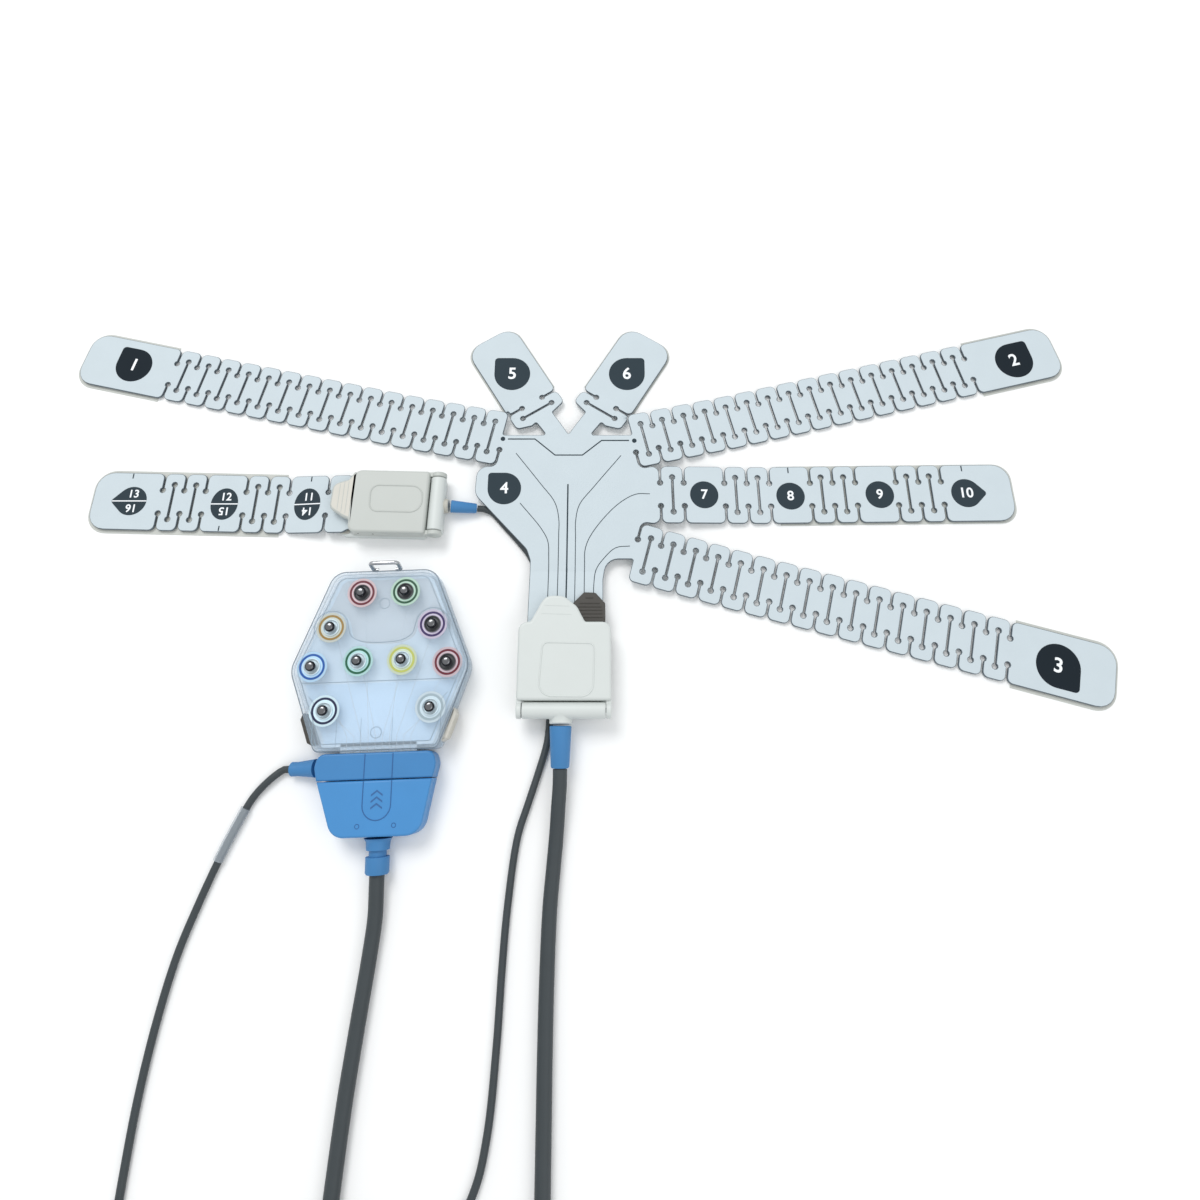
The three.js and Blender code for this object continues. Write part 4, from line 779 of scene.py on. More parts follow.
def ribbon(form, path, width):
    """A printed line."""
    path = [Vector(point) for point in path]
    left, right = [], []
    for index, here in enumerate(path):
        along = (path[min(index + 1, len(path) - 1)] - path[max(index - 1, 0)]).normalized()
        side = Vector((-along.y, along.x)) * width / 2
        left.append(here + side)
        right.append(here - side)
    for a, b, c, d in zip(right, right[1:], left[1:], left):
        form.slab([[a, b, c, d]], 0, PRINT_T)


def smooth_line(places, spacing=LINE_STEP):
    return [(p.x, p.y) for p in through([(x, y, 0) for x, y in places], spacing)]


dark, slate, white, lines = Form(), Form(), Form(), Form()
for name, (x, y, radius, corner, number) in LIMB_MARKS.items():
    dark.slab([carried(ROOTS[name], teardrop(x, y, radius, corner))], 0, PRINT_T)
    upright = ROOT_TURNS[name] - FLIPPED[name]
    white.stamp(number, LIMB_NUMBER, placed(*at(ROOTS[name], x, y)[:2], upright, PRINT_T))
for x, y, radius, corner, number in TRUNK_MARKS:
    slate.slab([teardrop(x, y, radius, corner)], 0, PRINT_T)
    white.stamp(number, radius * TRUNK_NUMBER_SHARE, placed(x, y, 0, PRINT_T))
ribbon(lines, YOKE, YOKE_W)
for x, y in YOKE_DOTS:
    lines.slab([circle(x, y, YOKE_DOT_R, 20)], 0, PRINT_T)
ribbon(lines, CENTRE_LINE, CENTRE_W)
for path in LEADS:
    ribbon(lines, smooth_line(path), LEAD_W)
for x in CHEST_TICKS:
    ribbon(lines, carried(CHEST, [(x, y) for y in CHEST_TICK_Y]), TICK_W)
front_prints = [form.make(name, [ink], ARRAY, slot="foam", lift=foam_top) for name, form, ink in (
    ("print_limb_marks", dark, INK), ("print_chest_marks", slate, SLATE),
    ("print_lines", lines, SLATE), ("print_numbers", white, WHITE_INK))]

# The side strip's marks are read from both sides: an upright and an inverted number
side_dark, side_white = Form(), Form()
for x, y, radius, corner, over, under in SIDE_MARKS:
    side_dark.slab([teardrop(x, y, radius, corner, OVAL_SHARE)], 0, PRINT_T)
    reach = radius * (DIVIDER_REACH_SHARE if corner else 1)
    side_white.slab([rectangle(x - reach, x + radius, y - DIVIDER_HALF_W, y + DIVIDER_HALF_W)],
                    PRINT_T, 2 * PRINT_T)
    right, rise = SIDE_NUMBER_AT
    side_white.stamp(over, SIDE_NUMBER, placed(x + right, y + rise, 0, PRINT_T))
    side_white.stamp(under, SIDE_NUMBER, placed(x + right, y - rise, 180, PRINT_T))
for x, edge in SIDE_TICKS:
    along = at(SIDE_STRIP.inverted(), x, SIDE_TICK_Y).x
    path = [(along, edge * share * STRIP_W / 2) for share in SIDE_TICK_SHARES]
    ribbon(side_dark, carried(SIDE_STRIP, path), TICK_W)
side_prints = [side_dark.make("print_side_marks", [SLATE], ARRAY, slot="foam", lift=side_top),
               side_white.make("print_side_numbers", [WHITE_INK], ARRAY, slot="foam", lift=side_top)]

# Electrode gel under the pads
GEL_R = 8
PADDED_MARKS = ("5", "6", "8", "9", "10", "13", "12")
gel = Form()
gel_places = [at(ROOTS[name], x, y)[:2] for name, (x, y, *rest) in LIMB_MARKS.items()]
gel_places += [(x, y) for x, y, radius, corner, number, *rest in TRUNK_MARKS + SIDE_MARKS
               if number in PADDED_MARKS]
for x, y in gel_places:
    gel.slab([circle(x, y, GEL_R)], LINER_T, FOAM_LOW)
gel.make("electrode_gel", [GEL], ARRAY, slot="liner")

# Clips
EAR_W = 2
COVER_R = 3.5
HEEL_R = 1.3  # of the cover's two corners at its hinge
COVER_WALL = 1.6
COVER_INNER_R = 0.4
COVER_EDGE_R = 1.1
TAB_RISE = 1.5  # of the tab's underside, from the cover's
TAB_Z = CLIP_COVER_Z + TAB_RISE
EAR_H_SHARE = 0.6  # of the barrel's radius, above its axis
EAR_EDGE_R = 0.2
BADGE_LINE_R = 0.32
GROOVE_R = 0.16
PRESS_IN = 0.02
PIN_HOLE_R = 0.42
PIN_HOLE_L = (0.03, 0.5)  # out of the cover's wall, and into it
SKIN_T = 0.3
SKIN_INSET = 0.9
POCKET_Y = (-19.5, -3.5)
POCKET_R = 0.6
POCKET_FLOOR_T = 1.4
BASE_R = 2.5
BASE_EDGE_R = 0.35
BASE_UNDER_R = 0.5
NECK_HALF_L = 2.8
NECK_OVERLAP = 0.5
NECK_UNDER_R = 0.8
LIP_STRIP_MARGIN = 1
LIP_STRIP_Y = (0.4, 0.6)  # in from the mouth, and out of the lip
LIP_STRIP_Z = (-0.4, 0.5)  # from the base's top
CLIP_EDGE_R = 0.3
COLLAR_FLARE = 1
COLLAR_FLARE_L = 1.8
COLLAR_EDGE = 0.4
MAIN_W, MAIN_L = 37.6, 31
SIDE_W, SIDE_L = 28.4, 33.2


def cylinder_x(form, start, end, y, z, radius, edge=CLIP_EDGE_R):
    """A round bar along X."""
    place = Matrix.Translation((start, y, z)) @ Matrix.Rotation(QUARTER, 4, "Y")
    length = end - start
    form.lathe([(radius - edge, 0), (radius, edge), (radius, length - edge), (radius - edge, length)], place)


def hinge_of(length):
    return -length - BARREL_R - GAP


def clip_cover(name, place, body, width, length, tab, badge, grooves, hole_ys, finish, tab_finish):
    """A hinged cover with its thumb tab, a moulded outline on top and lines to press on."""
    half, hinge_y = width / 2, hinge_of(length)
    inner, back, ear = half - COVER_WALL, -length + COVER_WALL, half - EAR_W
    heel = [(-half, -length, HEEL_R), (half, -length, HEEL_R)]
    front = [(half, 0, COVER_R), (-half, 0, COVER_R)]
    wall_out = [(-half, -COVER_R)] + heel + [(half, -COVER_R)]
    wall_in = [(inner, -COVER_R), (inner, back, COVER_INNER_R)]
    cover = Form(place)
    cover.slab([rounded(heel + front)], CLIP_COVER_Z, TAB_Z)
    cover.slab([rounded(heel + front[:1] + tab + front[1:])], TAB_Z, CLIP_H, bevel=COVER_EDGE_R, steps=4)
    cover.slab([rounded(wall_out + wall_in + mirrored(wall_in))], CLIP_BASE_T + GAP, CLIP_COVER_Z)
    for left, right in ((-half, -ear), (ear, half)):
        cylinder_x(cover, left, right, hinge_y, HINGE_Z, BARREL_R)
        cover.slab([rectangle(left, right, hinge_y, back)], HINGE_Z, HINGE_Z + BARREL_R * EAR_H_SHARE,
                   bevel=EAR_EDGE_R)
    cover.wire(rounded(badge, 8), CLIP_H, BADGE_LINE_R, 8, closed=True)
    for groove in grooves:
        cover.wire(groove, CLIP_H - PRESS_IN, GROOVE_R)
    # Pin holes: dark rods just proud of the wall, their darkness painted shade in the holes.
    cover.slot = 1
    for y in hole_ys:
        cylinder_x(cover, -half - PIN_HOLE_L[0], -half + PIN_HOLE_L[1], y, TAB_Z, PIN_HOLE_R, 0)
    if tab_finish is not SHELL:
        cover.slot = 2
        skin = rounded([(tab[-1][0], -COVER_EDGE_R), (tab[0][0], -COVER_EDGE_R)] + tab)
        cover.slab([inset(skin, SKIN_INSET)], CLIP_H - SKIN_T, CLIP_H + PRESS_IN)
    cover.make(name + "_lid", [finish, DARK_AND_HOLE_SHADE, tab_finish], body, name + "_cover")


def clip_base(name, place, width, length, lip, collar_at, collar_r, collar_l, strip=False):
    """A base with a pocket, its part of the hinge, and a collar for the strain relief."""
    half, hinge_y = width / 2, hinge_of(length)
    inner, knuckle = half - COVER_WALL, half - EAR_W - GAP
    base = Form(place)
    plan = rectangle(-half, half, -length, lip, BASE_R)
    pocket = rectangle(GAP - inner, inner - GAP, *POCKET_Y, POCKET_R)
    base.slab([plan], 0, POCKET_FLOOR_T, under=BASE_UNDER_R)
    base.slab([plan, pocket], POCKET_FLOOR_T, CLIP_BASE_T, bevel=BASE_EDGE_R)
    neck_end = hinge_y - NECK_HALF_L
    base.slab([rectangle(-knuckle, knuckle, neck_end, -length + NECK_OVERLAP, POCKET_R)], 0, CLIP_BASE_T,
              bevel=CLIP_EDGE_R, under=NECK_UNDER_R)
    base.slab([rectangle(-knuckle, knuckle, neck_end, hinge_y + NECK_HALF_L)],
              CLIP_BASE_T - NECK_OVERLAP, HINGE_Z)
    cylinder_x(base, -knuckle, knuckle, hinge_y, HINGE_Z, BARREL_R)
    if strip:
        base.slot = 1
        reach = half - LIP_STRIP_MARGIN
        plan = rectangle(-reach, reach, LIP_STRIP_Y[0], lip + LIP_STRIP_Y[1], LIP_STRIP_MARGIN)
        base.slab([plan], CLIP_BASE_T + LIP_STRIP_Z[0], CLIP_BASE_T + LIP_STRIP_Z[1], bevel=EAR_EDGE_R)
    x, z = collar_at
    mouth = Matrix.Translation((x, hinge_y - BARREL_R, z)) @ Matrix.Rotation(QUARTER, 4, "X")
    flare = [(collar_r + COLLAR_FLARE * share, -COLLAR_FLARE_L * share) for share in (1, 0.5)]
    base.lathe(flare + [(collar_r, COLLAR_EDGE / 2), (collar_r, collar_l - COLLAR_EDGE),
                        (collar_r - COLLAR_EDGE, collar_l)], mouth)
    base.make(name + "_bed", [SHELL, GREY_FILM] if strip else [SHELL], ARRAY, name + "_base")


clip_cover("main_clip", MAIN_CLIP, "main_cover", MAIN_W, MAIN_L,
           tab=[(8.2, 0, 1), (4.9, 6.2, 4), (-0.6, 10.6, 5), (-8.2, 10.8, 5), (-11.6, 4.4, 5),
                (-14, 0, 1.2)],
           badge=[(-8.8, -8.4, 2.2), (-10.2, -29.4, 5), (11.6, -29.6, 5), (12, -8.8, 2.2)],
           grooves=[((-8.4, 6.6), (1.6, 6.2)), ((-9.4, 3.2), (2.6, 2.8))],
           hole_ys=(-3, -9.4), finish=SHELL, tab_finish=SHELL)
clip_base("main_clip", MAIN_CLIP, MAIN_W, MAIN_L, lip=0, collar_at=(-1.3, 4.35), collar_r=4.5, collar_l=1.8)
clip_cover("side_clip", SIDE_CLIP, "side_cover", SIDE_W, SIDE_L,
           tab=[(12.8, 0, 0.8), (9.6, 2.2, 1.5), (7.4, 8.6, 3.6), (-3.6, 8.9, 3.6), (-7.4, 2.6, 2),
                (-8.4, 0, 0.8)],
           badge=[(-4.7, -8.6, 3.6), (-4.7, -31, 5), (7.2, -31, 5), (7.2, -8.2, 3.6)],
           grooves=[((-4.4, 5.2), (7.2, 5.2)), ((-5.4, 3.4), (8, 3.4)), ((-6, 1.6), (8.6, 1.6))],
           hole_ys=(-4.4, -10.8), finish=SIDE_SHELL, tab_finish=CREAM)
clip_base("side_clip", SIDE_CLIP, SIDE_W, SIDE_L, lip=4.6, collar_at=(0, 4.85), collar_r=3.1, collar_l=1.6,
          strip=True)

# Strain reliefs: each one's name, node, exit and profile of (radius, distance). Each ends
# where its cord begins.
RELIEFS = [
    ("main_relief", "main_clip_boot", MAIN_EXIT,
     [(3.9, 0), (4.35, 0.3), (4.3, 1.2), (3.65, 15.2), (3.3, 15.8)]),
    ("side_relief", "side_clip_boot", SIDE_EXIT,
     [(2.4, 0), (2.75, 0.3), (2.7, 1), (2.15, 10.9), (1.8, 11.3)]),
    ("plug_relief", "plug_boot", PLUG_EXIT,
     [(5.4, 0), (4.9, 0.5), (4.6, 1.4), (4.4, 4.1), (3.3, 4.2), (3.3, 6.4), (4.5, 6.5), (4.5, 11.9),
      (4.1, 12.6)]),
    ("plug_side_relief", "plug_side_boot", THIN_PLUG_EXIT,
     [(3.5, 0), (3.4, 0.8), (2.6, 8.2), (2.7, 8.5), (2.7, 10.4), (2.2, 10.8)]),
]
for name, node, exits, profile in RELIEFS:
    end, beyond = (Vector(place) for place in from_frame(exits))
    along = (beyond - end).normalized()
    start = Matrix.Translation(end - along * (profile[-1][1] + GAP))
    aim = along.to_track_quat("Z", "Y").to_matrix().to_4x4()
    Form(start @ aim).lathe(profile, sides=40).make(name, [BOOT_BLUE], ARRAY, node)

# Pull tab: house-shaped, with ridges to hold it by
PULL_T = 1.2
PULL_EDGE_R = 0.3
HOUSE = [(3, 0.3), (16.5, 0.3), (16.5, 8.2, 1), (12.4, 12.9, 1.2), (7.6, 13.1, 1.2), (3.2, 8.4, 1)]
RIDGE_X = 9.9
RIDGES = [(2.2, 5.3, 0.28), (3.7, 5.3, 0.28), (5.2, 5.3, 0.28), (6.7, 5, 0.28), (8.2, 4.2, 0.28),
          (10.6, 1.6, 0.25)]  # each one's height on the tab, half length and radius


def on_tail(x, y):
    return foam_top(x, y) + GAP


pull = Form().slab([rounded(HOUSE)], 0, PULL_T, bevel=PULL_EDGE_R)
for y, reach, radius in RIDGES:
    pull.wire([(RIDGE_X - reach, y), (RIDGE_X + reach, y)], PULL_T, radius, 8)
pull.make("pull_tab_grip", [DARK_AND_HOLE_SHADE], ARRAY, "pull_tab", lift=on_tail, cuts=crossing(ALONG_Y, LOBE_R))

# Snap box
WALL = 1.6
BOX_UNDER_R = 0.8
BOX_EDGE_R = 1
LATCH_L = 13.2
LATCH_H = 7.6
LATCH_Z = (BOX_H - LATCH_H) / 2
LATCH_Y_SHARE = 0.287  # of the waist's place
LATCH_Y = LATCH_Y_SHARE * BOX_WAIST_Y
POST_R = 2
POST_TAPER = 0.1
POST_X_SHARE = 0.62  # of the top's half width
POST_Y_SHARES = (0.18, 0.7)  # of the box's length
flank_lean = math.atan2((BOX_MID_W - BOX_END_W) / 2, BOX_WAIST_Y - GAP)


def box_corners(amount):
    """The corners of the right side, from the plug up, moved in by an amount."""
    ys = (GAP + amount, BOX_WAIST_Y, BOX_L - amount)
    return [(width / 2 - amount, y, max(radius - amount, 1))
            for width, y, radius in zip((BOX_END_W, BOX_MID_W, BOX_TOP_W), ys, BOX_RADII)]


def box_outline(amount):
    corners = box_corners(amount)
    return rounded(corners + mirrored(corners), 8)


def flank(amount, share):
    """A place on the lower right flank, from the latch's middle, in half latch lengths."""
    along = Vector((math.sin(flank_lean), math.cos(flank_lean)))
    out = Vector((math.cos(flank_lean), -math.sin(flank_lean)))
    middle = Vector((BOX_END_W / 2 + (LATCH_Y - GAP) * math.tan(flank_lean), LATCH_Y))
    return middle + along * share * (LATCH_L / 2 + GAP) - out * amount


def wall_pair(form, low, high):
    """The walls below and above the two latches."""
    outer, inner = box_corners(0), box_corners(WALL)
    for out, back in (([flank(0, -1), outer[0]], [inner[0], flank(WALL, -1)]),
                      ([flank(0, 1)] + outer[1:], inner[:0:-1] + [flank(WALL, 1)])):
        form.slab([rounded(out + mirrored(out) + mirrored(back) + back)], low, high)


tray = Form(BOX).slab([box_outline(0)], 0, WALL, under=BOX_UNDER_R)
wall_pair(tray, WALL, BOX_SPLIT_Z)
for side in (-1, 1):
    for share in POST_Y_SHARES:
        tray.lathe([(POST_R, 0), (POST_R - POST_TAPER, BOARD_Z - GAP - WALL)],
                   placed(side * POST_X_SHARE * BOX_TOP_W / 2, share * BOX_L, z=WALL), 20)
tray.make("box_tray_shell", [CLEAR], "snap_box", "box_tray")

# Lid, with its moulded lines and the wall's inner contour as grey wires: the lines are real ridges, and
# their grey tone is painted shade of their edges in the clear plastic
LINE_R = 0.14
FINE_LINE_R = 0.08
EYE_LINE_R = 0.12
RIM_LINE_R = 0.2
RIM_INSET = 0.3
RIM_DROP = 0.5
PANEL_INSET = 3
PANEL_END = (30.5, 26.6)
RIB_XS = (-15.5, -6, 6.2)
RIB_Y = (1.2, 12.5)
EYES = [(0.6, 57.6), (0, 7)]
EYE_R = 2.1
BRACKET = [(27.4, 21.4), (25.2, 19), (24.8, 4), (22.6, 1.4)]
DISH_END = (27.4, 46)
DISH_HORN = (20.5, 48.4, 6.8)  # the middle and radius of its round horn
HORN_START, HORN_SWEEP = math.radians(170), math.radians(-160)
DISH_STEP = 0.8
DISH_SADDLE = [(-12.4, 45), (-9, 42.8), (-5, 42)]
horn_x, horn_y, horn_r = DISH_HORN
horns = [arc(side * horn_x, horn_y, horn_r, HORN_START, HORN_SWEEP, 10) for side in (-1, 1)]
dish = mirrored([DISH_END]) + horns[0] + DISH_SADDLE + mirrored(DISH_SADDLE) + horns[1] + [DISH_END]
dish_line = smooth_line(dish, DISH_STEP)
lid = Form(BOX)
lid_z = LATCH_Z + LATCH_H + GAP
wall_pair(lid, BOX_SPLIT_Z + GAP, lid_z)
lid.slab([box_outline(0)], lid_z, BOX_H, bevel=BOX_EDGE_R, steps=4)
# A dark wire just inside the lid's top edge: painted shade of the clear shell's edge.
lid.slot = 2
lid.wire(box_outline(RIM_INSET), BOX_H - RIM_DROP, RIM_LINE_R, closed=True)
# Grey lines: real moulded ridges, and the wall's inner contour, their grey painted shade.
lid.slot = 1
lid.wire(box_outline(PANEL_INSET), BOX_H, LINE_R, closed=True)
lid.wire(box_outline(WALL), BOX_H, FINE_LINE_R, closed=True)
lid.wire(dish_line, BOX_H, LINE_R)
lid.wire(mirrored([PANEL_END]) + [PANEL_END], BOX_H, LINE_R)
for x in RIB_XS:
    lid.wire([(x, y) for y in RIB_Y], BOX_H, FINE_LINE_R)
for x, y in EYES:
    lid.wire(circle(x, y, EYE_R, 24), BOX_H, EYE_LINE_R, closed=True)
for side in (-1, 1):
    lid.wire([(side * x, y) for x, y in BRACKET], BOX_H, LINE_R)
lid.make("box_lid", [CLEAR, LINE_SHADE_GREY, RIM_SHADE_GREY], "snap_box", "box_cover")

# Circuit board, with a printed face, a trace and a ring for each stud, and its contacts
STUD_SHARES = [(0.247, 0.87), (0.57, 0.676), (0.75, 0.461), (0.244, 0.483), (0.578, 0.221)]
BOARD_INSET = 1.9
BOARD_T = 1
BOARD_EDGE_R = 0.1
TONGUE = (-15, 15, -7, 4, 0.6)
FACE_T = 0.03
CONTACT_T = 0.05
LAND_T = 0.06
LAND_RADII = (3, 1.9)
TRACE_R = 0.12
TRACE_PITCH = 2.8
TRACE_TURN_Y = 6
CONTACT_HALF_W = 0.8
CONTACT_Y = (-6.6, -0.6)
CONTACT_R = 0.2
FACE_GAP = 0.5
END_FACE = (30.5, 26.4)
END_FACE_TOP_Y = 12
studs = [(side * x * BOX_MID_W / 2, y * BOX_L) for x, y in STUD_SHARES for side in (-1, 1)]
trace_xs = [TRACE_PITCH * (index - (len(studs) - 1) / 2) for index in range(len(studs))]
board_top = BOARD_Z + BOARD_T
board = Form(BOX)
for plan in (box_outline(BOARD_INSET), rectangle(*TONGUE)):
    board.slab([plan], BOARD_Z, board_top, bevel=BOARD_EDGE_R)
board.slot = 1
face = [point for point in box_outline(PANEL_INSET) if point.y > DISH_END[1] + FACE_GAP]
board.slab([dish_line + face], board_top, board_top + FACE_T)
for trace_x, (x, y) in zip(trace_xs, sorted(studs)):
    board.wire([(x, y), (trace_x, TRACE_TURN_Y), (trace_x, 0)], board_top, TRACE_R)
    board.slab([circle(x, y, radius, 24) for radius in LAND_RADII], board_top, board_top + LAND_T)
board.slot = 2
for x in trace_xs:
    plan = rectangle(x - CONTACT_HALF_W, x + CONTACT_HALF_W, *CONTACT_Y, CONTACT_R)
    board.slab([plan], board_top, board_top + CONTACT_T)
board.slot = 3
foot = [point for point in box_outline(PANEL_INSET) if point.y < END_FACE_TOP_Y]
foot = [point for point in foot if point.x < 0] + [point for point in foot if point.x > 0]
board.slab([mirrored([END_FACE]) + foot + [END_FACE]], board_top, board_top + FACE_T)
board.make("board_assembly", [BOARD, BOARD_TOP, FILM, BOARD_END], "snap_box", "circuit_board")

# Snap studs, each a ball in a cup, with a coloured ring between a halo and a disc. The balls' sides are
# painted dark as shade and dark reflection
BALL_PROFILE = [(0, -3.7), (1.4, -3.7), (1.4, 0.1), (1.5, 0.1), (1.5, 0.8), (1.75, 1.2), (2, 1.8),
                (2.05, 2.3), (1.9, 2.85), (1.45, 3.25), (0.8, 3.4), (0, 3.4)]
BALL_SHADE_LEVELS = range(4, 9)  # its underside and its rim, painted dark as shade and dark reflection
CUP_PROFILE = [(1.35, 0.05), (3.3, 0.05), (3.45, 0.3), (3.35, 0.75), (3.05, 0.9), (2.75, 0.75),
               (2.6, 0.3), (2.6, 0.16), (1.35, 0.16)]
CUP_FLOOR_RADII = (2.72, 1.48)
CUP_FLOOR_Z = (0.17, 0.24)
RING_RADII = [(5.1, 4.25), (6, 5.15), (4.2, 3.3)]  # of the ring, the halo and the disc
RING_Z = [(0.02, 0.16), (0.01, 0.08), (0.01, 0.08)]
RING_EDGE_RADII = (0.04, 0, 0)
RING_LEVELS = [(96, 2, 30), (0, 72, 40), (150, 120, 58), (46, 12, 84), (14, 82, 160),
               (98, 2, 32), (0, 90, 60), (184, 190, 92), (12, 22, 64), (154, 172, 180)]
DISC_LEVELS = [(214, 190, 195), (186, 218, 200), (201, 207, 197), (203, 193, 215), (184, 219, 245),
               (206, 186, 194), (178, 220, 218), (205, 218, 191), (214, 238, 248), (205, 222, 230)]
HALO_SHARE = 0.92  # of the disc's levels
RING_ROUGHNESS = 0.4
DARK_CUPS = (0, 1, 3, 5)
for index, ((x, y), levels, inner) in enumerate(zip(studs, RING_LEVELS, DISC_LEVELS)):
    name = f"snap_stud_{index + 1}"
    place = BOX @ placed(x, y, z=BOX_H)
    stud = Form(place).lathe(BALL_PROFILE, bands=[(level, 2) for level in BALL_SHADE_LEVELS])
    stud.slot = 1
    stud.lathe(CUP_PROFILE)
    stud.slab([circle(0, 0, radius, 24) for radius in CUP_FLOOR_RADII], *CUP_FLOOR_Z)
    cup = CUP_DARK if index in DARK_CUPS else CUP_PALE
    stud.make(name + "_cup", [CHROME, cup, BALL_SHADE], "snap_box", name)
    ring = Form(place)
    for slot, (radii, heights, edge) in enumerate(zip(RING_RADII, RING_Z, RING_EDGE_RADII)):
        ring.slot = slot
        ring.slab([circle(0, 0, radius, 48) for radius in radii], *heights, bevel=edge)
    pale = [round(level * HALO_SHARE) for level in inner]
    finishes = [paint(f"{part}_{index + 1}", tone, RING_ROUGHNESS)
                for part, tone in (("ring", levels), ("halo", pale), ("disc", inner))]
    ring.make(f"ring_{index + 1}", finishes, "snap_box", slot="clear_plastic")

# Wire bail, in its own plane: across, and out from its pivot
BAIL_R = 0.85
BAIL_Z = 8
BAIL_LEAN = math.radians(80)
BAIL_LEFT = [(-3.7, 0), (-5.7, 0, 1.1), (-5.7, 7, 1.5)]
pivot = BOX @ placed(0, BOX_L + BAIL_R + GAP, z=BAIL_Z) @ Matrix.Rotation(BAIL_LEAN, 4, "X")
bail = Form(pivot).wire(rounded(BAIL_LEFT + mirrored(BAIL_LEFT), 6), 0, BAIL_R, 14)
bail.make("bail_loop_wire", [STEEL], "bail", "wire_bail")

# Latches: +X points out of the flank
LATCH_PROUD = 1.8
LATCH_HALF = [(-0.4, -LATCH_L / 2), (0.2, -LATCH_L / 2, 0.3),
              (LATCH_PROUD, LATCH_PROUD - LATCH_L / 2, 0.8)]
LATCH_EDGE_R = 0.6
LATCH_UNDER_R = 0.5
LATCH_RIDGES = 4
LATCH_RIDGE_HALF_L = 3.4
LATCH_RIDGE_R = 0.16
for side, name, finish in ((-1, "left", DARK_AND_HOLE_SHADE), (1, "right", CREAM)):
    middle = flank(0, 0)
    turn = side * -math.degrees(flank_lean) + (180 if side < 0 else 0)
    latch = Form(BOX @ placed(side * middle.x, middle.y, turn))
    latch.slab([rounded(LATCH_HALF + mirrored(LATCH_HALF, (1, -1)))], LATCH_Z, LATCH_Z + LATCH_H,
               bevel=LATCH_EDGE_R, under=LATCH_UNDER_R)
    for step in range(LATCH_RIDGES):
        z = LATCH_Z + LATCH_H * (step + 1) / (LATCH_RIDGES + 1)
        latch.wire([(LATCH_PROUD - PRESS_IN, y * LATCH_RIDGE_HALF_L) for y in (-1, 1)], z, LATCH_RIDGE_R)
    latch.make(f"latch_{name}_bar", [finish], f"latch_{name}", f"box_latch_{name}")

# Plug
BAND_HALF = 23.5
BAND_TAPER = 1.2
BAND_WAIST_Y = -5.2
BAND_EDGE_R = 0.7
BAND_UNDER_R = 0.9
BAND_FLOOR, BAND_ROOF = 3.9, 9.5  # of the space for the contact block
SPACE_HALF = 15.8
GROOVE_LINE_R = 0.2
CHANNEL_R = 5.4
CHANNEL_END_Y = -19.3
BAND_LINE_INSET = 0.5
band_low = -GAP - BAND_L
band_end = BAND_HALF - BAND_TAPER
band_side = [(band_end, -GAP, 3.4), (BAND_HALF, BAND_WAIST_Y, 4), (band_end, band_low)]
band_outline = rounded(band_side + mirrored(band_side))
band = Form(BOX).slab([band_outline], 0, BAND_FLOOR, under=BAND_UNDER_R)
for side in (-1, 1):
    cheek = band_side + [(SPACE_HALF, band_low), (SPACE_HALF, -GAP)]
    band.slab([rounded([(side * x, y) + tuple(rest) for x, y, *rest in cheek])], BAND_FLOOR, BAND_ROOF)
band.slab([band_outline], BAND_ROOF, PLUG_H, bevel=BAND_EDGE_R, steps=4)
# The band's grooves: darker blue lines, painted shade in the grooves.
band.slot = 1
for side in (-1, 1):
    x = PLUG_END_X + side * CHANNEL_R
    band.wire([(x, -GAP - BAND_LINE_INSET), (x, band_low + GAP)], PLUG_H, GROOVE_LINE_R)
band.make("plug_band_shell", [BAND_BLUE, GROOVE_SHADE_BLUE], ARRAY, "plug_band")

PLUG_EDGE_R = 0.9
PLUG_UNDER_R = 1
PLUG_SEAM = 0.15
PLUG_SHOULDER = 1.3  # in from the band's widest place
PLUG_END_HALF = 16.6
PLUG_END_R = 6.5
CHEVRONS = 3
CHEVRON_Y = -14.2
CHEVRON_PITCH = 2.3
CHEVRON = [(0, 0.3), (0, -0.4), (2.2, -2), (2.2, -1.3)]
CHEVRON_Z = (-0.02, 0.08)
PLUG_EYE = (6.9, -26.6, 0.8)  # its place beside the middle, and its radius
body_top = band_low - GAP
end_x, end_y, eye_r = PLUG_EYE
body_outline = rounded([
    (PLUG_SHOULDER - BAND_HALF, body_top), (PLUG_END_X - PLUG_END_HALF, -PLUG_L, PLUG_END_R),
    (PLUG_END_X + PLUG_END_HALF, -PLUG_L, PLUG_END_R), (BAND_HALF - PLUG_SHOULDER, body_top)], 8)
lower = Form(BOX).slab([body_outline], 0, PLUG_SPLIT_Z - PLUG_SEAM, under=PLUG_UNDER_R)
lower.make("plug_bottom", [BLUE], ARRAY, "plug_lower_shell")
upper = Form(BOX).slab([body_outline], PLUG_SPLIT_Z + PLUG_SEAM, PLUG_H, bevel=PLUG_EDGE_R, steps=4)
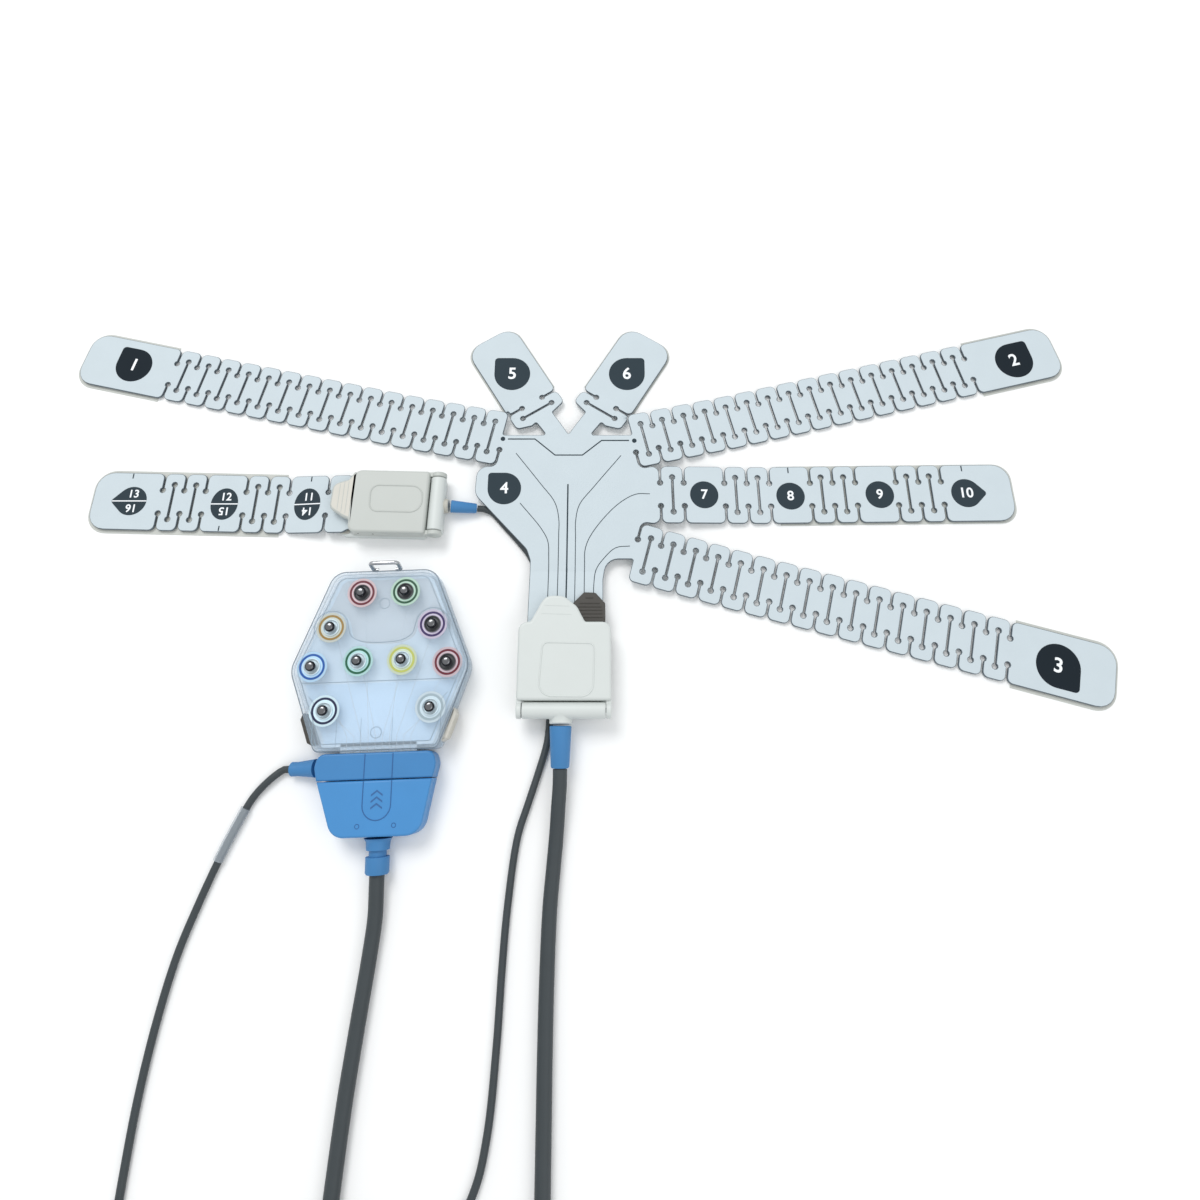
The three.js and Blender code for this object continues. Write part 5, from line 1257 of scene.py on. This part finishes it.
# The channel, chevrons and eyes: darker blue, painted shade along these moulded marks.
upper.slot = 1
round_end = arc(PLUG_END_X, CHANNEL_END_Y, CHANNEL_R, math.pi, math.pi, 16)
channel = [(round_end[0].x, body_top - GAP)] + round_end + [(round_end[-1].x, body_top - GAP)]
upper.wire(channel, PLUG_H, GROOVE_LINE_R)
for step in range(CHEVRONS):
    for side in (-1, 1):
        half_mark = [(PLUG_END_X + side * x, CHEVRON_Y - CHEVRON_PITCH * step + y) for x, y in CHEVRON]
        upper.slab([half_mark], PLUG_H + CHEVRON_Z[0], PLUG_H + CHEVRON_Z[1])
for side in (-1, 1):
    upper.wire(circle(PLUG_END_X + side * end_x, end_y, eye_r, 16), PLUG_H, LINE_R, closed=True)
upper.make("plug_top", [BLUE, GROOVE_SHADE_BLUE], ARRAY, "plug_upper_shell")

# Clear sleeve on the thin cord, beside the plug
SLEEVE_R = 1.9
SLEEVE_Y = (-90.5, -69.5)
sleeve_path = [(x, y) for x, y, z in through(laid(THIN_BACK, THIN_D), LINE_STEP)
               if SLEEVE_Y[0] < y < SLEEVE_Y[1]]
sleeve = Form().wire(sleeve_path, SLEEVE_R, SLEEVE_R, 20).make(
    "cable_sleeve", [SLEEVE], ARRAY, slot="clear_plastic")

# Solids that are kept as they are
for finish, kept in ((FILM, ("sheet_contact_film", "side_contact_film")),
                     (STEEL, ("main_clip_hinge_pin", "side_clip_hinge_pin")),
                     (CONTACTS, ("plug_contact_block", "main_clip_contact_block",
                                 "side_clip_contact_block")),
                     (PAD_GREY, ("main_clip_pressure_pad", "side_clip_pressure_pad"))):
    for node in kept:
        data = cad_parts[node].data
        data.materials.clear()
        data.materials.append(finish)

# Camera, tilted forward over the middle of the plug and clip, with its place in metres
CAMERA_PLACE = (0.013624, -0.081877, 0.338)
CAMERA_TILT = math.radians(20)
camera_data = bpy.data.cameras.new("camera")
camera_data.lens = 24
camera_data.sensor_width = 36
camera_data.shift_y = -0.1
camera_data.clip_start = 0.01
camera = added("camera", camera_data)
camera.location = CAMERA_PLACE
camera.rotation_euler = (CAMERA_TILT, 0, 0)
bpy.context.scene.camera = camera

# Table and light. The lamps' places and sizes are in metres.
TABLE_HALF = 3000
WORLD_COLOUR = (0.96, 0.98, 1, 1)
WORLD_STRENGTH = 0.75
FILL_COLOUR = (0.97, 0.985, 1)
table = bpy.data.meshes.new("table")
half = TABLE_HALF * MM
corners = [(-half, -half, 0), (half, -half, 0), (half, half, 0), (-half, half, 0)]
table.from_pydata(corners, [], [(0, 1, 2, 3)])
table.materials.append(FLOOR)
added("table", table)

world = bpy.data.worlds.new("world")
world.use_nodes = True
background = world.node_tree.nodes["Background"]
background.inputs["Color"].default_value = WORLD_COLOUR
background.inputs["Strength"].default_value = WORLD_STRENGTH
bpy.context.scene.world = world


def lamp(name, place, size, power, colour=(1, 1, 1)):
    """A round lamp that points at the frame's origin."""
    light = bpy.data.lights.new(name, "AREA")
    light.shape, light.size, light.energy, light.color = "DISK", size, power, colour
    holder = added(name, light)
    holder.location = place
    holder.rotation_euler = (-Vector(place)).to_track_quat("-Z", "Y").to_euler()


lamp("key", place=(-0.5, 0.9, 1.5), size=0.9, power=14)
lamp("fill", place=(0.9, -0.6, 1.3), size=1.2, power=4, colour=FILL_COLOUR)
bpy.context.scene.view_settings.view_transform = "Standard"
